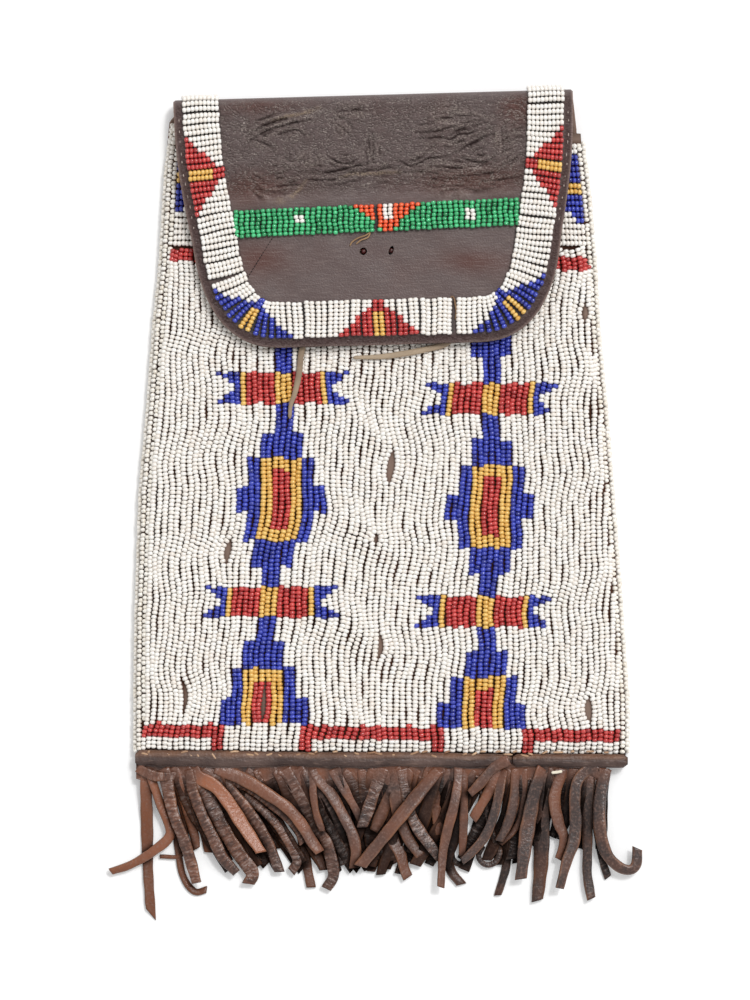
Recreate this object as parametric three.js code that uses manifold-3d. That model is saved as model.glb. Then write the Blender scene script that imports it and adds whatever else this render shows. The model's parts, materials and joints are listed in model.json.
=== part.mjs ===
// A beaded dispatch case: a flat hide pouch with a flap folded over its front, lanes of beads
// inlaid with blocks of colour, and a fringe of cut thongs along its foot.
// Millimetres. The case lies on its back: +X to the right of its front, +Y towards the flap's fold,
// +Z out of the front. The origin is on the back panel's resting face, 116 mm above the foot seam.

import * as THREE from 'three';
import { mergeVertices } from 'three/addons/utils/BufferGeometryUtils.js';
import Module from 'manifold-3d';

const wasm = await Module();
wasm.setup();

// Pouch
const FOOT_WIDTH = 179.6;
const WAIST_WIDTH = 170;
const MOUTH_WIDTH = 151;
const POUCH_LENGTH = 223; // foot seam to mouth
const WAIST_HEIGHT = 108; // above the foot seam
const ORIGIN_HEIGHT = 116; // above the foot seam
const MOUTH_LEAN = -1.6; // sideways drift of the mouth
const MOUTH_HORN = 6; // how far the mouth's left corner is drawn up beside the flap
const HORN_WIDTH = 9;
const SEAM_ALLOWANCE = 5.2; // flat margin below the foot seam
const LEATHER = 2; // back panel and flap
const FRONT_HIDE = 1.2;
const POUCH_DEPTH = 6; // room inside, back to front
const EDGE_ROUND = 16; // width of the rounded edge of the front
const GAP = 0.3; // clearance between pieces that seat on each other

// Beadwork
const STRING_PITCH = 2.16; // from string to string
const STRINGS_PER_RIDGE = 2; // neighbouring strings that share one ridge
const BEAD_ROW = 1.46; // from bead to bead along a string
const BEAD_VALLEY = 1.1; // height of the beadwork between two strings
const BEAD_CREST = 1.7; // height of the beadwork on a string
const EDGING_INSET = 3.4; // width of the front that the edging covers
const EDGING_REACH = 1.7; // how far the edging stands out past the seam
const FIELD_HEIGHT = 182; // height of the upright strings above the foot seam
const MOUTH_LANE_WIDTH = 14;
const MOUTH_LANE_TOP = 5; // bare hide between the lanes and the mouth
const EDGING_TOP = 3; // and between the edging and the mouth
const TOP_BAND_ROWS = 3;

// Flap and its fold
const FLAP_LENGTH = 90.5;
const FLAP_TOP_WIDTH = 144;
const FLAP_SIDE_WIDTH = 132.6; // where the rounded corner starts
const FLAP_SIDE_LENGTH = 52;
const FLAP_FOOT_WIDTH = 72; // straight stretch between the rounded corners
const CORNER_LEAN = 2; // how far the side leans in as it enters the corner
const CORNER_SIDE_PULL = 0.53; // roundness of the corner, from the side
const CORNER_FOOT_PULL = 0.67; // and from the foot
const FOLD_RADIUS = 5.5;
const FOLD_OVER_MOUTH = 13.9; // how far the fold stands above the mouth
const FOLD_SHIFT = -3.1;
const FOLD_SKEW = THREE.MathUtils.degToRad(1.6);
const FLAP_SLOPE_LENGTH = 24; // the flap climbs over the mouth within this length
const FLAP_LIP = 3.2; // bare leather outside the border lane
const BORDER_WIDTH = 13.2;
const BORDER_START = 1.2; // from the fold's crest to the lane's first string
const BAND_WIDTH = 9.4;
const BAND_STRINGS = 48;
const BAND_FROM_FOLD = 44;
const TIE_HOLE_RADIUS = 1.3;
const TIE_HOLE_SPACING = 9.9;
const TIE_HOLE_FROM_FOLD = 56.7;

// Ties
const TIE_WIDTH = 2.2;
const TIE_THICKNESS = 1.2;
const TIE_EYE_RADIUS = 1.5;
const TIE_EYE_SPACING = 7;
const TIE_EYE_FROM_MOUTH = 30;

// Foot welt and fringe
const WELT_HEIGHT = 1.8;
const WELT_SPLIT = 47; // where the second length of welt begins
const WELT_PROFILE = [0.35, 0.85, 1, 0.85, 0.35]; // rounded section, as shares of its height
const FOOT_INSET = 1; // welt and fringe end this far in from the side seams
const HEADER_DROP = 6; // header of the fringe below the welt
const FRINGE_LEATHER = 1.4;
const FRINGE_DROP = 54; // longest thong, below the hem
const THONG_WIDTH = 4.4; // of a middling thong
const FRINGE_LEVELS = [0.8, 2.4, 4]; // heights of the thongs' middles where they lie
const THONG_DROP = 0.6; // share of a thong in which it comes down from the header
const THONG_TIP = 0.8; // width of a thong's end, as a share of its width
const THONG_ROOT = 0.6; // thickness of a thong inside the header, as a share of the leather

// Colours
const WHITE = 0xebe4d7;
const BLUE = 0x232d96;
const RED = 0xb4342f;
const YELLOW = 0xe1af46;
const GREEN = 0x148c50;
const ORANGE = 0xe6502a;
const HIDE_BROWN = 0x5f4a40;
const FLAP_BROWN = 0x584c4a;
const FRINGE_BROWN = 0x5e4638;
const TIE_TAN = 0xa08c76;
const BEAD_ROUGHNESS = 0.35;
const LEATHER_ROUGHNESS = 0.65;

// Levels and places that follow from the sizes
const footY = -ORIGIN_HEIGHT;
const waistY = footY + WAIST_HEIGHT;
const mouthY = footY + POUCH_LENGTH;
const hemY = footY - SEAM_ALLOWANCE;
const foldY = mouthY + FOLD_OVER_MOUTH;
const fieldTopY = footY + FIELD_HEIGHT;
const seamTop = LEATHER + GAP + FRONT_HIDE;
const frontTopZ = LEATHER + POUCH_DEPTH + FRONT_HIDE;
const beadTopZ = frontTopZ + GAP + BEAD_CREST;
const flapUnderZ = beadTopZ + TIE_THICKNESS + 2 * GAP;
const flapTopZ = flapUnderZ + LEATHER;
const headerZ = seamTop + GAP;
const weltZ = headerZ + FRINGE_LEATHER + GAP;
const headerHalf = FOOT_WIDTH / 2 - FOOT_INSET;
const bandHalf = FLAP_SIDE_WIDTH / 2 - FLAP_LIP - BORDER_WIDTH - 2 * GAP;
const eyeX = TIE_EYE_SPACING / 2;
const eyeY = mouthY - TIE_EYE_FROM_MOUTH;

// Cutting shapes and smoothness
const ABOVE_ALL = 40; // reach of a cutting shape above and below everything
const OVERCUT = 1; // how far a blank runs past the outline cut from it
const BORE_SIDES = 12;
const FOLD_STEPS = 6;
const CORNER_STEPS = 8;

const lerp = THREE.MathUtils.lerp;
const foldFrame = new THREE.Matrix4()
  .makeTranslation(FOLD_SHIFT, foldY, 0)
  .multiply(new THREE.Matrix4().makeRotationZ(FOLD_SKEW));

// Solids

// A closed solid between two surfaces sampled on one grid, with u to the right of v seen from above.
function sheet(us, vs, top, bottom) {
  const points = [];
  for (const surface of [top, bottom]) {
    for (const v of vs) {
      for (const u of us) points.push(...surface(u, v));
    }
  }
  const across = us.length;
  const along = vs.length;
  const upper = (i, j) => j * across + i;
  const lower = (i, j) => across * along + upper(i, j);
  const index = [];
  const quad = (a, b, c, d) => index.push(a, b, c, a, c, d);
  for (let j = 0; j + 1 < along; j++) {
    for (let i = 0; i + 1 < across; i++) {
      quad(upper(i, j), upper(i + 1, j), upper(i + 1, j + 1), upper(i, j + 1));
      quad(lower(i, j), lower(i, j + 1), lower(i + 1, j + 1), lower(i + 1, j));
    }
    const last = across - 1;
    quad(lower(0, j + 1), lower(0, j), upper(0, j), upper(0, j + 1));
    quad(lower(last, j), lower(last, j + 1), upper(last, j + 1), upper(last, j));
  }
  for (let i = 0; i + 1 < across; i++) {
    const last = along - 1;
    quad(lower(i, 0), lower(i + 1, 0), upper(i + 1, 0), upper(i, 0));
    quad(lower(i + 1, last), lower(i, last), upper(i, last), upper(i + 1, last));
  }
  const geometry = new THREE.BufferGeometry();
  geometry.setAttribute('position', new THREE.Float32BufferAttribute(points, 3));
  geometry.setIndex(index);
  return geometry;
}

function toSolid(geometry) {
  const bare = new THREE.BufferGeometry();
  bare.setAttribute('position', geometry.attributes.position);
  bare.setIndex(geometry.index);
  const welded = mergeVertices(bare, 1e-4);
  const mesh = new wasm.Mesh({
    numProp: 3,
    vertProperties: Float32Array.from(welded.attributes.position.array),
    triVerts: Uint32Array.from(welded.index.array),
  });
  return new wasm.Manifold(mesh);
}

function toGeometry(solid) {
  const { vertProperties, triVerts } = solid.getMesh();
  const geometry = new THREE.BufferGeometry();
  geometry.setAttribute('position', new THREE.BufferAttribute(vertProperties, 3));
  geometry.setIndex(new THREE.BufferAttribute(triVerts, 1));
  geometry.computeVertexNormals();
  return geometry;
}

function prism(outline, from = -ABOVE_ALL, to = ABOVE_ALL) {
  const shape = new THREE.Shape(outline.map(([x, y]) => new THREE.Vector2(x, y)));
  const geometry = new THREE.ExtrudeGeometry(shape, { depth: to - from, bevelEnabled: false });
  geometry.translate(0, 0, from);
  return toSolid(geometry);
}

function drill(x, y, radius) {
  const bore = new THREE.CylinderGeometry(radius, radius, 2 * ABOVE_ALL, BORE_SIDES);
  bore.rotateX(Math.PI / 2);
  bore.translate(x, y, 0);
  return toSolid(bore);
}

function mesh(name, shape, color, roughness) {
  const geometry = shape.isBufferGeometry ? shape : toGeometry(shape);
  const material = new THREE.MeshStandardMaterial({ color, roughness, metalness: 0 });
  const piece = new THREE.Mesh(geometry, material);
  piece.name = name;
  return piece;
}

const beads = (name, shape, color) => mesh(name, shape, color, BEAD_ROUGHNESS);
const leather = (name, shape, color) => mesh(name, shape, color, LEATHER_ROUGHNESS);

function steps(from, to, count) {
  return Array.from({ length: count + 1 }, (_, i) => lerp(from, to, i / count));
}

// Shape of the pouch

function halfWidth(y) {
  if (y <= footY) return FOOT_WIDTH / 2;
  if (y <= waistY) return lerp(FOOT_WIDTH, WAIST_WIDTH, (y - footY) / (waistY - footY)) / 2;
  return lerp(WAIST_WIDTH, MOUTH_WIDTH, (y - waistY) / (mouthY - waistY)) / 2;
}

function centreX(y) {
  return (MOUTH_LEAN * Math.max(y - footY, 0)) / POUCH_LENGTH;
}

// Rise of the front away from a seam: 0 at the seam, 1 past the rounded edge.
function rise(distance) {
  const left = 1 - THREE.MathUtils.clamp(distance / EDGE_ROUND, 0, 1);
  return Math.sqrt(1 - left * left);
}

// Height of the front's outer face at a distance in from the side seam.
function frontTop(inset, y) {
  return seamTop + (frontTopZ - seamTop) * rise(inset) * rise(y - footY);
}

// Point of the front at a place across it, -1 at the left seam and 1 at the right one.
function frontPoint(side, inset, y, lift) {
  const x = centreX(y) + side * (halfWidth(y) - inset);
  return [x, y, frontTop(inset, y) + lift];
}

const edgeInsets = [0, 0.06, 0.19, 0.45, 1].map((share) => share * EDGE_ROUND);
const footRises = [0, 0.1, 0.38, 1].map((share) => footY + share * EDGE_ROUND);
const acrossFront = [
  ...edgeInsets.map((inset) => [-1, inset]),
  ...edgeInsets.toReversed().map((inset) => [1, inset]),
];

const alongFront = [hemY, ...footRises, waistY, mouthY];

// Level of the mouth's edge at a place across the front.
function mouthLevel(side, inset) {
  if (side > 0) return mouthY;
  return mouthY + MOUTH_HORN * (1 - THREE.MathUtils.smoothstep(inset, EDGING_INSET, HORN_WIDTH));
}

const frontFace = (lift) => ([side, inset], y) => {
  const level = y === mouthY ? mouthLevel(side, inset) : y;
  return frontPoint(side, inset, level, lift);
};

function buildFrontPanel() {
  let panel = toSolid(sheet(acrossFront, alongFront, frontFace(0), frontFace(-FRONT_HIDE)));
  for (const x of [-eyeX, eyeX]) {
    panel = panel.subtract(drill(x, eyeY, TIE_EYE_RADIUS));
  }
  return leather('front_panel', panel, HIDE_BROWN);
}

// Outer and inner face of the folded leather at a turn round the fold, in the fold's own frame.
function foldPoint(x, angle, radius) {
  const y = -FOLD_RADIUS + radius * Math.cos(angle);
  return [x, y, FOLD_RADIUS + radius * Math.sin(angle)];
}

const foldParting = Math.asin(GAP / 2 / (FOLD_RADIUS - LEATHER));

function buildBackPanel() {
  const foldHalf = FLAP_TOP_WIDTH / 2;
  const turns = steps(-Math.PI / 2, -foldParting, FOLD_STEPS);
  const flatEnd = -FOLD_RADIUS - OVERCUT;
  const run = (depth, z) => {
    const turned = turns.map((angle) => foldPoint(0, angle, FOLD_RADIUS - depth));
    return [[0, flatEnd, z], ...turned];
  };
  const outer = run(0, 0);
  const inner = run(LEATHER, LEATHER);
  const face = (points) => (x, place) => [x, points[place][1], points[place][2]];
  const places = outer.map((_, place) => place);
  const curl = sheet([-foldHalf, foldHalf], places, face(inner), face(outer));
  curl.applyMatrix4(foldFrame);
  const neck = [-1, 1].map((side) => {
    const corner = new THREE.Vector3(side * foldHalf, -FOLD_RADIUS, 0).applyMatrix4(foldFrame);
    return [corner.x, corner.y];
  });
  const edge = (side, y) => [centreX(y) + side * halfWidth(y), y];
  const hornY = mouthY + MOUTH_HORN;
  const outline = [
    edge(-1, hemY), edge(1, hemY), edge(1, waistY), edge(1, mouthY),
    [neck[1][0], mouthY], neck[1], neck[0], [neck[0][0], hornY],
    edge(-1, hornY), edge(-1, waistY),
  ];
  return leather('back_panel', prism(outline, 0, LEATHER).add(toSolid(curl)), HIDE_BROWN);
}

// Beadwork of the front: upright strings as ridges, cut into fields of colour

// Height of the beadwork at a place counted in ridges: valleys at whole numbers, crests between.
const beadHeight = (place) => (place % 1 === 0 ? BEAD_VALLEY : BEAD_CREST);

// Strings are counted from the middle of the front.
const stringX = (string) => string * STRING_PITCH;

const rows = (count) => count * BEAD_ROW;

// Level of the foot of a block of the pattern, given in rows of beads above the foot seam.
const blockY = (height) => footY + rows(height);

// What the beadwork of the front rests on: the front panel with its clearance, down past the back.
function beadBed() {
  const below = (place, y) => [...frontFace(0)(place, y).slice(0, 2), -ABOVE_ALL];
  return toSolid(sheet(acrossFront, alongFront, frontFace(GAP), below));
}

function ridgedFront() {
  const stations = [footY + GAP, ...footRises.slice(1), waistY, fieldTopY];
  const ridgeWidth = STRINGS_PER_RIDGE * STRING_PITCH;
  const ridges = Math.ceil(FOOT_WIDTH / 2 / ridgeWidth);
  const ridgeX = (place) => place * ridgeWidth;
  const crest = (place, y) => {
    const inset = halfWidth(y) - Math.abs(ridgeX(place) - centreX(y));
    return [ridgeX(place), y, frontTop(inset, y) + GAP + beadHeight(place)];
  };
  const base = (place, y) => [ridgeX(place), y, 0];
  const edge = (side) => (y) => [centreX(y) + side * (halfWidth(y) - EDGING_INSET), y];
  const levels = [hemY, footY, waistY, fieldTopY + GAP];
  const outline = [...levels.map(edge(1)), ...levels.toReversed().map(edge(-1))];
  const strings = toSolid(sheet(steps(-ridges, ridges, 4 * ridges), stations, crest, base));
  return strings.intersect(prism(outline)).subtract(beadBed());
}

// Outline of a field that steps in and out about a string: each step has its half width in strings,
// a sideways shift in strings and the height where it ends. It grows by a clearance for its window.
function stepped(axis, y0, stack, grow = 0) {
  const side = (sign) => {
    const points = [];
    let y = y0 - grow;
    stack.forEach(([half, shift, end], i) => {
      const reach = axis + shift + sign * half;
      const next = stack[i + 1];
      const widens = next && sign * (next[1] - shift) + next[0] > half;
      points.push([stringX(reach) + sign * grow, y]);
      y = end + (widens ? -grow : grow);
      points.push([stringX(reach) + sign * grow, y]);
    });
    return points;
  };
  return [...side(1), ...side(-1).reverse()];
}

// Bar of the pattern: a yellow middle between two red blocks, with a forked blue end on each side.
const BAR_MIDDLE = 1.5;
const BAR_BLOCK = 7.5;
const BAR_NOTCH = 8.7;
const BAR_END = 11.5;

function barWindow(axis, y0, height) {
  const corner = (side, up) => {
    const y = up > 0 ? y0 + height + GAP : y0 - GAP;
    return [stringX(axis + side * BAR_END) + side * GAP, y];
  };
  const notch = (side) => [stringX(axis + side * BAR_NOTCH) + side * 2 * GAP, y0 + height / 2];
  return [corner(-1, -1), corner(1, -1), notch(1), corner(1, 1), corner(-1, 1), notch(-1)];
}

function barFields(axis, y0, height) {
  const y1 = y0 + height;
  const block = (from, to) => {
    const x0 = stringX(axis + from) + GAP / 2;
    const x1 = stringX(axis + to) - GAP / 2;
    return [[x0, y0], [x1, y0], [x1, y1], [x0, y1]];
  };
  const fork = (side) => {
    const root = stringX(axis + side * BAR_BLOCK) + (side * GAP) / 2;
    const tip = stringX(axis + side * BAR_END);
    const notch = stringX(axis + side * BAR_NOTCH);
    const outline = [[root, y0], [tip, y0], [notch, (y0 + y1) / 2], [tip, y1], [root, y1]];
    return side > 0 ? outline : outline.reverse();
  };
  return {
    middle: [block(-BAR_MIDDLE, BAR_MIDDLE), YELLOW],
    red_left: [block(-BAR_BLOCK, -BAR_MIDDLE), RED],
    red_right: [block(BAR_MIDDLE, BAR_BLOCK), RED],
    fork_left: [fork(-1), BLUE],
    fork_right: [fork(1), BLUE],
  };
}

// Where each column of the pattern stands: for each block, the string of its axis and the rows of
// beads from the foot seam up to it.
const BAR_ROWS = 7.5;
const CORE_HALF = 1.5;
const FRAME_HALF = 3.5;
const WING_HALF = 5.5;
const WING_WIDE_HALF = 7.5;
const LOZENGE_ROWS = 20;
const HALF_LOZENGE_ROWS = 13.5;
const WING_WIDE_ROWS = 6;
const BLOCK_ROWS = 6;
const FRAME_MARGIN = 1; // rows of blue round the yellow frame
const CORE_MARGIN = 3; // rows from the lozenge's end to its red core
const TOP_BLOCK_ROWS = 7;
const FOOT_LINE_ROWS = 3;
const FOOT_LINE_FOOT = 4; // rows below the line
const overFootLine = FOOT_LINE_FOOT + FOOT_LINE_ROWS + (2 * GAP) / BEAD_ROW;
const columns = {
  left: {
    upperBar: [-16.5, 86],
    lozenge: [-16.5, 52.5],
    lowerBar: [-19.5, 33],
    halfLozenge: [-20.5, overFootLine],
  },
  right: {
    upperBar: [18.5, 83.5],
    lozenge: [18.5, 50.5],
    lowerBar: [17.5, 30.5],
    halfLozenge: [17.5, overFootLine],
  },
};

function lozengeStack(axis, y0, lowerBar, upperBar) {
  const top = y0 + rows(LOZENGE_ROWS);
  const waist = y0 + rows((LOZENGE_ROWS - WING_WIDE_ROWS) / 2);
  return [
    [CORE_HALF, lowerBar[0] - axis, y0 - rows(BLOCK_ROWS)],
    [FRAME_HALF, (lowerBar[0] - axis) / 2, y0],
    [WING_HALF, 0, waist],
    [WING_WIDE_HALF, 0, waist + rows(WING_WIDE_ROWS)],
    [WING_HALF, 0, top],
    [FRAME_HALF, 0, top + rows(BLOCK_ROWS)],
    [CORE_HALF, upperBar[0] - axis, blockY(upperBar[1]) - 2 * GAP],
  ];
}

function halfLozengeStack(axis, y0, lowerBar) {
  const top = y0 + rows(HALF_LOZENGE_ROWS);
  return [
    [WING_WIDE_HALF, 0, y0 + rows(WING_WIDE_ROWS)],
    [WING_HALF, 0, top],
    [FRAME_HALF, 0, top + rows(BLOCK_ROWS)],
    [CORE_HALF, lowerBar[0] - axis, blockY(lowerBar[1]) - 2 * GAP],
  ];
}

// Fields of one column of the pattern, each with its outline, its colour and the outlines cut out of
// it, and the windows that they need in the ground.
function columnFields(side) {
  const { upperBar, lozenge, lowerBar, halfLozenge } = columns[side];
  const barHeight = rows(BAR_ROWS);
  const fields = {};
  const windows = [];
  const add = (name, outline, color, cuts = []) => {
    fields[`${side}_${name}`] = { outline, color, cuts };
  };
  const blue = (name, axis, y0, stack, cuts) => {
    add(name, stepped(axis, y0, stack), BLUE, cuts);
    windows.push(stepped(axis, y0, stack, GAP));
  };
  const nested = (name, axis, frame, core) => {
    const outline = (half, [from, to], grow) => stepped(axis, from, [[half, 0, to]], grow);
    add(`${name}_yellow`, outline(FRAME_HALF, frame, 0), YELLOW, [outline(CORE_HALF, core, GAP)]);
    add(`${name}_red`, outline(CORE_HALF, core, 0), RED);
    return outline(FRAME_HALF, frame, GAP);
  };

  for (const [name, [axis, height]] of [['upper_bar', upperBar], ['lower_bar', lowerBar]]) {
    windows.push(barWindow(axis, blockY(height), barHeight));
    for (const [part, [outline, color]] of Object.entries(barFields(axis, blockY(height), barHeight))) {
      add(`${name}_${part}`, outline, color);
    }
  }

  const neckFoot = blockY(upperBar[1]) + barHeight + 2 * GAP;
  blue('top_block', upperBar[0], neckFoot, [
    [CORE_HALF, 0, neckFoot + rows(TOP_BLOCK_ROWS)],
    [FRAME_HALF, 0, neckFoot + rows(2 * TOP_BLOCK_ROWS)],
  ], []);

  const axis = lozenge[0];
  const foot = blockY(lozenge[1]);
  const top = foot + rows(LOZENGE_ROWS);
  const frame = [foot + rows(FRAME_MARGIN), top - rows(FRAME_MARGIN)];
  const core = [foot + rows(CORE_MARGIN), top - rows(CORE_MARGIN)];
  const stack = lozengeStack(axis, foot, lowerBar, upperBar);
  const window = nested('lozenge', axis, frame, core);
  blue('lozenge_blue', axis, blockY(lowerBar[1]) + barHeight + 2 * GAP, stack, [window]);

  const halfAxis = halfLozenge[0];
  const halfFoot = blockY(halfLozenge[1]);
  const halfTop = halfFoot + rows(HALF_LOZENGE_ROWS);
  const halfFrame = [halfFoot + rows(FRAME_MARGIN), halfTop - rows(FRAME_MARGIN)];
  const halfCore = [halfFoot + rows(2 * FRAME_MARGIN), halfTop - rows(CORE_MARGIN)];
  const halfStack = halfLozengeStack(halfAxis, halfFoot, lowerBar);
  const halfWindow = nested('half_lozenge', halfAxis, halfFrame, halfCore);
  blue('half_lozenge_blue', halfAxis, halfFoot, halfStack, [halfWindow]);
  return { fields, windows };
}

// Red lines: a short one at each side below the mouth, and three along the foot with bars that frame
// the two white boxes.
const FOOT_BAR_STRINGS = 2;
const FOOT_BOX_HALF = 6.5;
const TOP_LINE_STRINGS = 12;

function lineFields() {
  const lineFoot = footY + rows(FOOT_LINE_FOOT);
  const lineTop = lineFoot + rows(FOOT_LINE_ROWS);
  const barFoot = footY + rows(1);
  const boxes = [columns.left.halfLozenge[0], columns.right.halfLozenge[0]];
  const lastString = (y) => Math.floor((halfWidth(y) - EDGING_INSET) / STRING_PITCH) - 1;
  const footEnd = lastString(lineTop);
  const line = (from, to, barLeft, barRight, grow) => {
    const foot = (isBar) => (isBar ? barFoot : lineFoot) - grow;
    const x0 = stringX(from) - grow;
    const x1 = stringX(to) + grow;
    const inLeft = stringX(from + FOOT_BAR_STRINGS) + grow;
    const inRight = stringX(to - FOOT_BAR_STRINGS) - grow;
    const corners = [[x0, lineTop + grow], [x0, foot(barLeft)]];
    if (barLeft) corners.push([inLeft, barFoot - grow], [inLeft, lineFoot - grow]);
    if (barRight) corners.push([inRight, lineFoot - grow], [inRight, barFoot - grow]);
    corners.push([x1, foot(barRight)], [x1, lineTop + grow]);
    return corners;
  };
  const spans = {
    foot_line_left: [-footEnd, boxes[0] - FOOT_BOX_HALF, false, true],
    foot_line_middle: [boxes[0] + FOOT_BOX_HALF, boxes[1] - FOOT_BOX_HALF, true, true],
    foot_line_right: [boxes[1] + FOOT_BOX_HALF, footEnd, true, false],
  };
  const fields = {};
  const windows = [];
  for (const [name, span] of Object.entries(spans)) {
    fields[name] = { outline: line(...span, 0), color: RED, cuts: [] };
    windows.push(line(...span, GAP));
  }
  const topFoot = fieldTopY - rows(2 * TOP_BAND_ROWS);
  const topStack = [[TOP_LINE_STRINGS / 2, 0, topFoot + rows(TOP_BAND_ROWS)]];
  const topEnd = lastString(fieldTopY) - 1;
  for (const [name, side] of [['top_line_left', -1], ['top_line_right', 1]]) {
    const axis = side * (topEnd - TOP_LINE_STRINGS / 2);
    fields[name] = { outline: stepped(axis, topFoot, topStack), color: RED, cuts: [] };
    windows.push(stepped(axis, topFoot, topStack, GAP));
  }
  return { fields, windows };
}

function buildFrontBeads() {
  const slab = ridgedFront();
  let ground = slab;
  const pieces = [];
  for (const { fields, windows } of [columnFields('left'), columnFields('right'), lineFields()]) {
    for (const window of windows) ground = ground.subtract(prism(window));
    for (const [name, { outline, color, cuts }] of Object.entries(fields)) {
      let field = slab.intersect(prism(outline));
      for (const cut of cuts) field = field.subtract(prism(cut));
      pieces.push(beads(`beads_${name}`, field, color));
    }
  }
  return [beads('beads_ground', ground, WHITE), ...pieces];
}

// Rolled bead edging over each side seam, from the table side of the seam up onto the front: how far
// each place stands out past the seam, and its height.
const EDGING_FOOT = 0.5;

function buildEdging(name, side) {
  const stations = [...footRises, waistY, mouthLevel(side, 0) - EDGING_TOP];
  const shoulder = edgeInsets[1];
  const end = EDGING_INSET - GAP;
  const roll = [
    { inner: [GAP, () => EDGING_FOOT], outer: [EDGING_REACH, () => EDGING_FOOT + GAP] },
    { inner: [GAP, () => seamTop + GAP], outer: [EDGING_REACH, () => seamTop + BEAD_VALLEY] },
    {
      inner: [-shoulder, (y) => frontTop(shoulder, y) + GAP],
      outer: [EDGING_REACH - shoulder, (y) => frontTop(shoulder, y) + BEAD_CREST],
    },
    {
      inner: [-end, (y) => frontTop(end, y) + GAP],
      outer: [-end, (y) => frontTop(end, y) + GAP + BEAD_CREST],
    },
  ];
  const at = (face) => (place, y) => {
    const [reach, height] = place[face];
    return [centreX(y) + side * (halfWidth(y) + reach), y, height(y)];
  };
  const order = side > 0 ? roll.toReversed() : roll;
  return beads(name, sheet(order, stations, at('outer'), at('inner')), WHITE);
}

// Lane of short level strings beside the mouth.
function buildMouthLane(name, side) {
  const foot = fieldTopY + GAP;
  const top = mouthY - MOUTH_LANE_TOP;
  const count = Math.round((top - foot) / (STRINGS_PER_RIDGE * STRING_PITCH));
  const insets = [EDGING_INSET, edgeInsets[3], EDGING_INSET + MOUTH_LANE_WIDTH];
  const levelY = (level) => lerp(foot, top, level / count);
  const crest = (inset, level) => frontPoint(side, inset, levelY(level), GAP + beadHeight(level));
  const base = (inset, level) => [...frontPoint(side, inset, levelY(level), 0).slice(0, 2), 0];
  const order = side > 0 ? insets.toReversed() : insets;
  const lane = toSolid(sheet(order, steps(0, count, 2 * count), crest, base));
  return beads(name, lane.subtract(beadBed()), WHITE);
}

// Flap, in the fold's own frame: the fold's crest is at y 0 and the flap hangs towards -y

function flapOutline(lip) {
  const foot = -FLAP_LENGTH + lip;
  const side = FLAP_SIDE_WIDTH / 2 - lip;
  const corner = FLAP_FOOT_WIDTH / 2;
  const round = FLAP_LENGTH - FLAP_SIDE_LENGTH;
  const bend = new THREE.CubicBezierCurve(
    new THREE.Vector2(side, -FLAP_SIDE_LENGTH),
    new THREE.Vector2(side - CORNER_LEAN, -FLAP_SIDE_LENGTH - CORNER_SIDE_PULL * round),
    new THREE.Vector2(corner + CORNER_FOOT_PULL * (side - corner), foot),
    new THREE.Vector2(corner, foot),
  );
  return { bend, side, foot, corner, top: FLAP_TOP_WIDTH / 2 - lip };
}

// Run of the flap from its foot up to the fold, at a depth below its outer face.
function flapRun(depth) {
  const turns = steps(Math.PI / 2, foldParting, FOLD_STEPS);
  const fold = turns.map((angle) => foldPoint(0, angle, FOLD_RADIUS - depth));
  const flat = [-FLAP_LENGTH - OVERCUT, -FLAP_SLOPE_LENGTH].map((y) => [0, y, flapTopZ - depth]);
  return [...flat, ...fold];
}

// A plate that follows the flap over its fold, from one depth to another.
function flapPlate(half, outerDepth, innerDepth) {
  const outer = flapRun(outerDepth);
  const inner = flapRun(innerDepth);
  const face = (run) => (x, place) => [x, run[place][1], run[place][2]];
  const places = outer.map((_, place) => place);
  return toSolid(sheet([-half, half], places, face(outer), face(inner)));
}

// Height of the flap's outer face below the fold.
function flapTop(y) {
  const share = THREE.MathUtils.clamp((-y - FOLD_RADIUS) / (FLAP_SLOPE_LENGTH - FOLD_RADIUS), 0, 1);
  if (y > -FOLD_RADIUS) {
    const run = y + FOLD_RADIUS;
    return FOLD_RADIUS + Math.sqrt(FOLD_RADIUS * FOLD_RADIUS - run * run);
  }
  return lerp(2 * FOLD_RADIUS, flapTopZ, share);
}

function buildFlap() {
  const { bend, side, top } = flapOutline(0);
  const right = [[top, OVERCUT], [top, 0], [side, -FLAP_SIDE_LENGTH]];
  for (const { x, y } of bend.getPoints(CORNER_STEPS).slice(1)) right.push([x, y]);
  const left = right.map(([x, y]) => [-x, y]);
  const outline = [...left, ...right.toReversed()];
  let flap = flapPlate(top + OVERCUT, 0, LEATHER).intersect(prism(outline));
  for (const x of [-TIE_HOLE_SPACING / 2, TIE_HOLE_SPACING / 2]) {
    flap = flap.subtract(drill(x, -TIE_HOLE_FROM_FOLD, TIE_HOLE_RADIUS));
  }
  return leather('flap', flap, FLAP_BROWN);
}

// Places along the border lane from the fold, down one side, round the foot and up the other:
// the lane's outer edge, and the way in to its inner edge.
function borderPath() {
  const { bend, side, foot, corner, top } = flapOutline(FLAP_LIP);
  const path = new THREE.CurvePath();
  const at = (x, y) => new THREE.Vector2(x, y);
  const down = at(side - top, -FLAP_SIDE_LENGTH).normalize();
  const startY = -BORDER_START + BORDER_WIDTH * down.x;
  const startX = top + (startY * down.x) / down.y;
  const mirror = new THREE.CubicBezierCurve(
    at(-bend.v3.x, bend.v3.y), at(-bend.v2.x, bend.v2.y),
    at(-bend.v1.x, bend.v1.y), at(-bend.v0.x, bend.v0.y),
  );
  path.add(new THREE.LineCurve(at(startX, startY), at(side, -FLAP_SIDE_LENGTH)));
  path.add(bend);
  path.add(new THREE.LineCurve(at(corner, foot), at(-corner, foot)));
  path.add(mirror);
  path.add(new THREE.LineCurve(at(-side, -FLAP_SIDE_LENGTH), at(-startX, startY)));
  return path;
}

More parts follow.
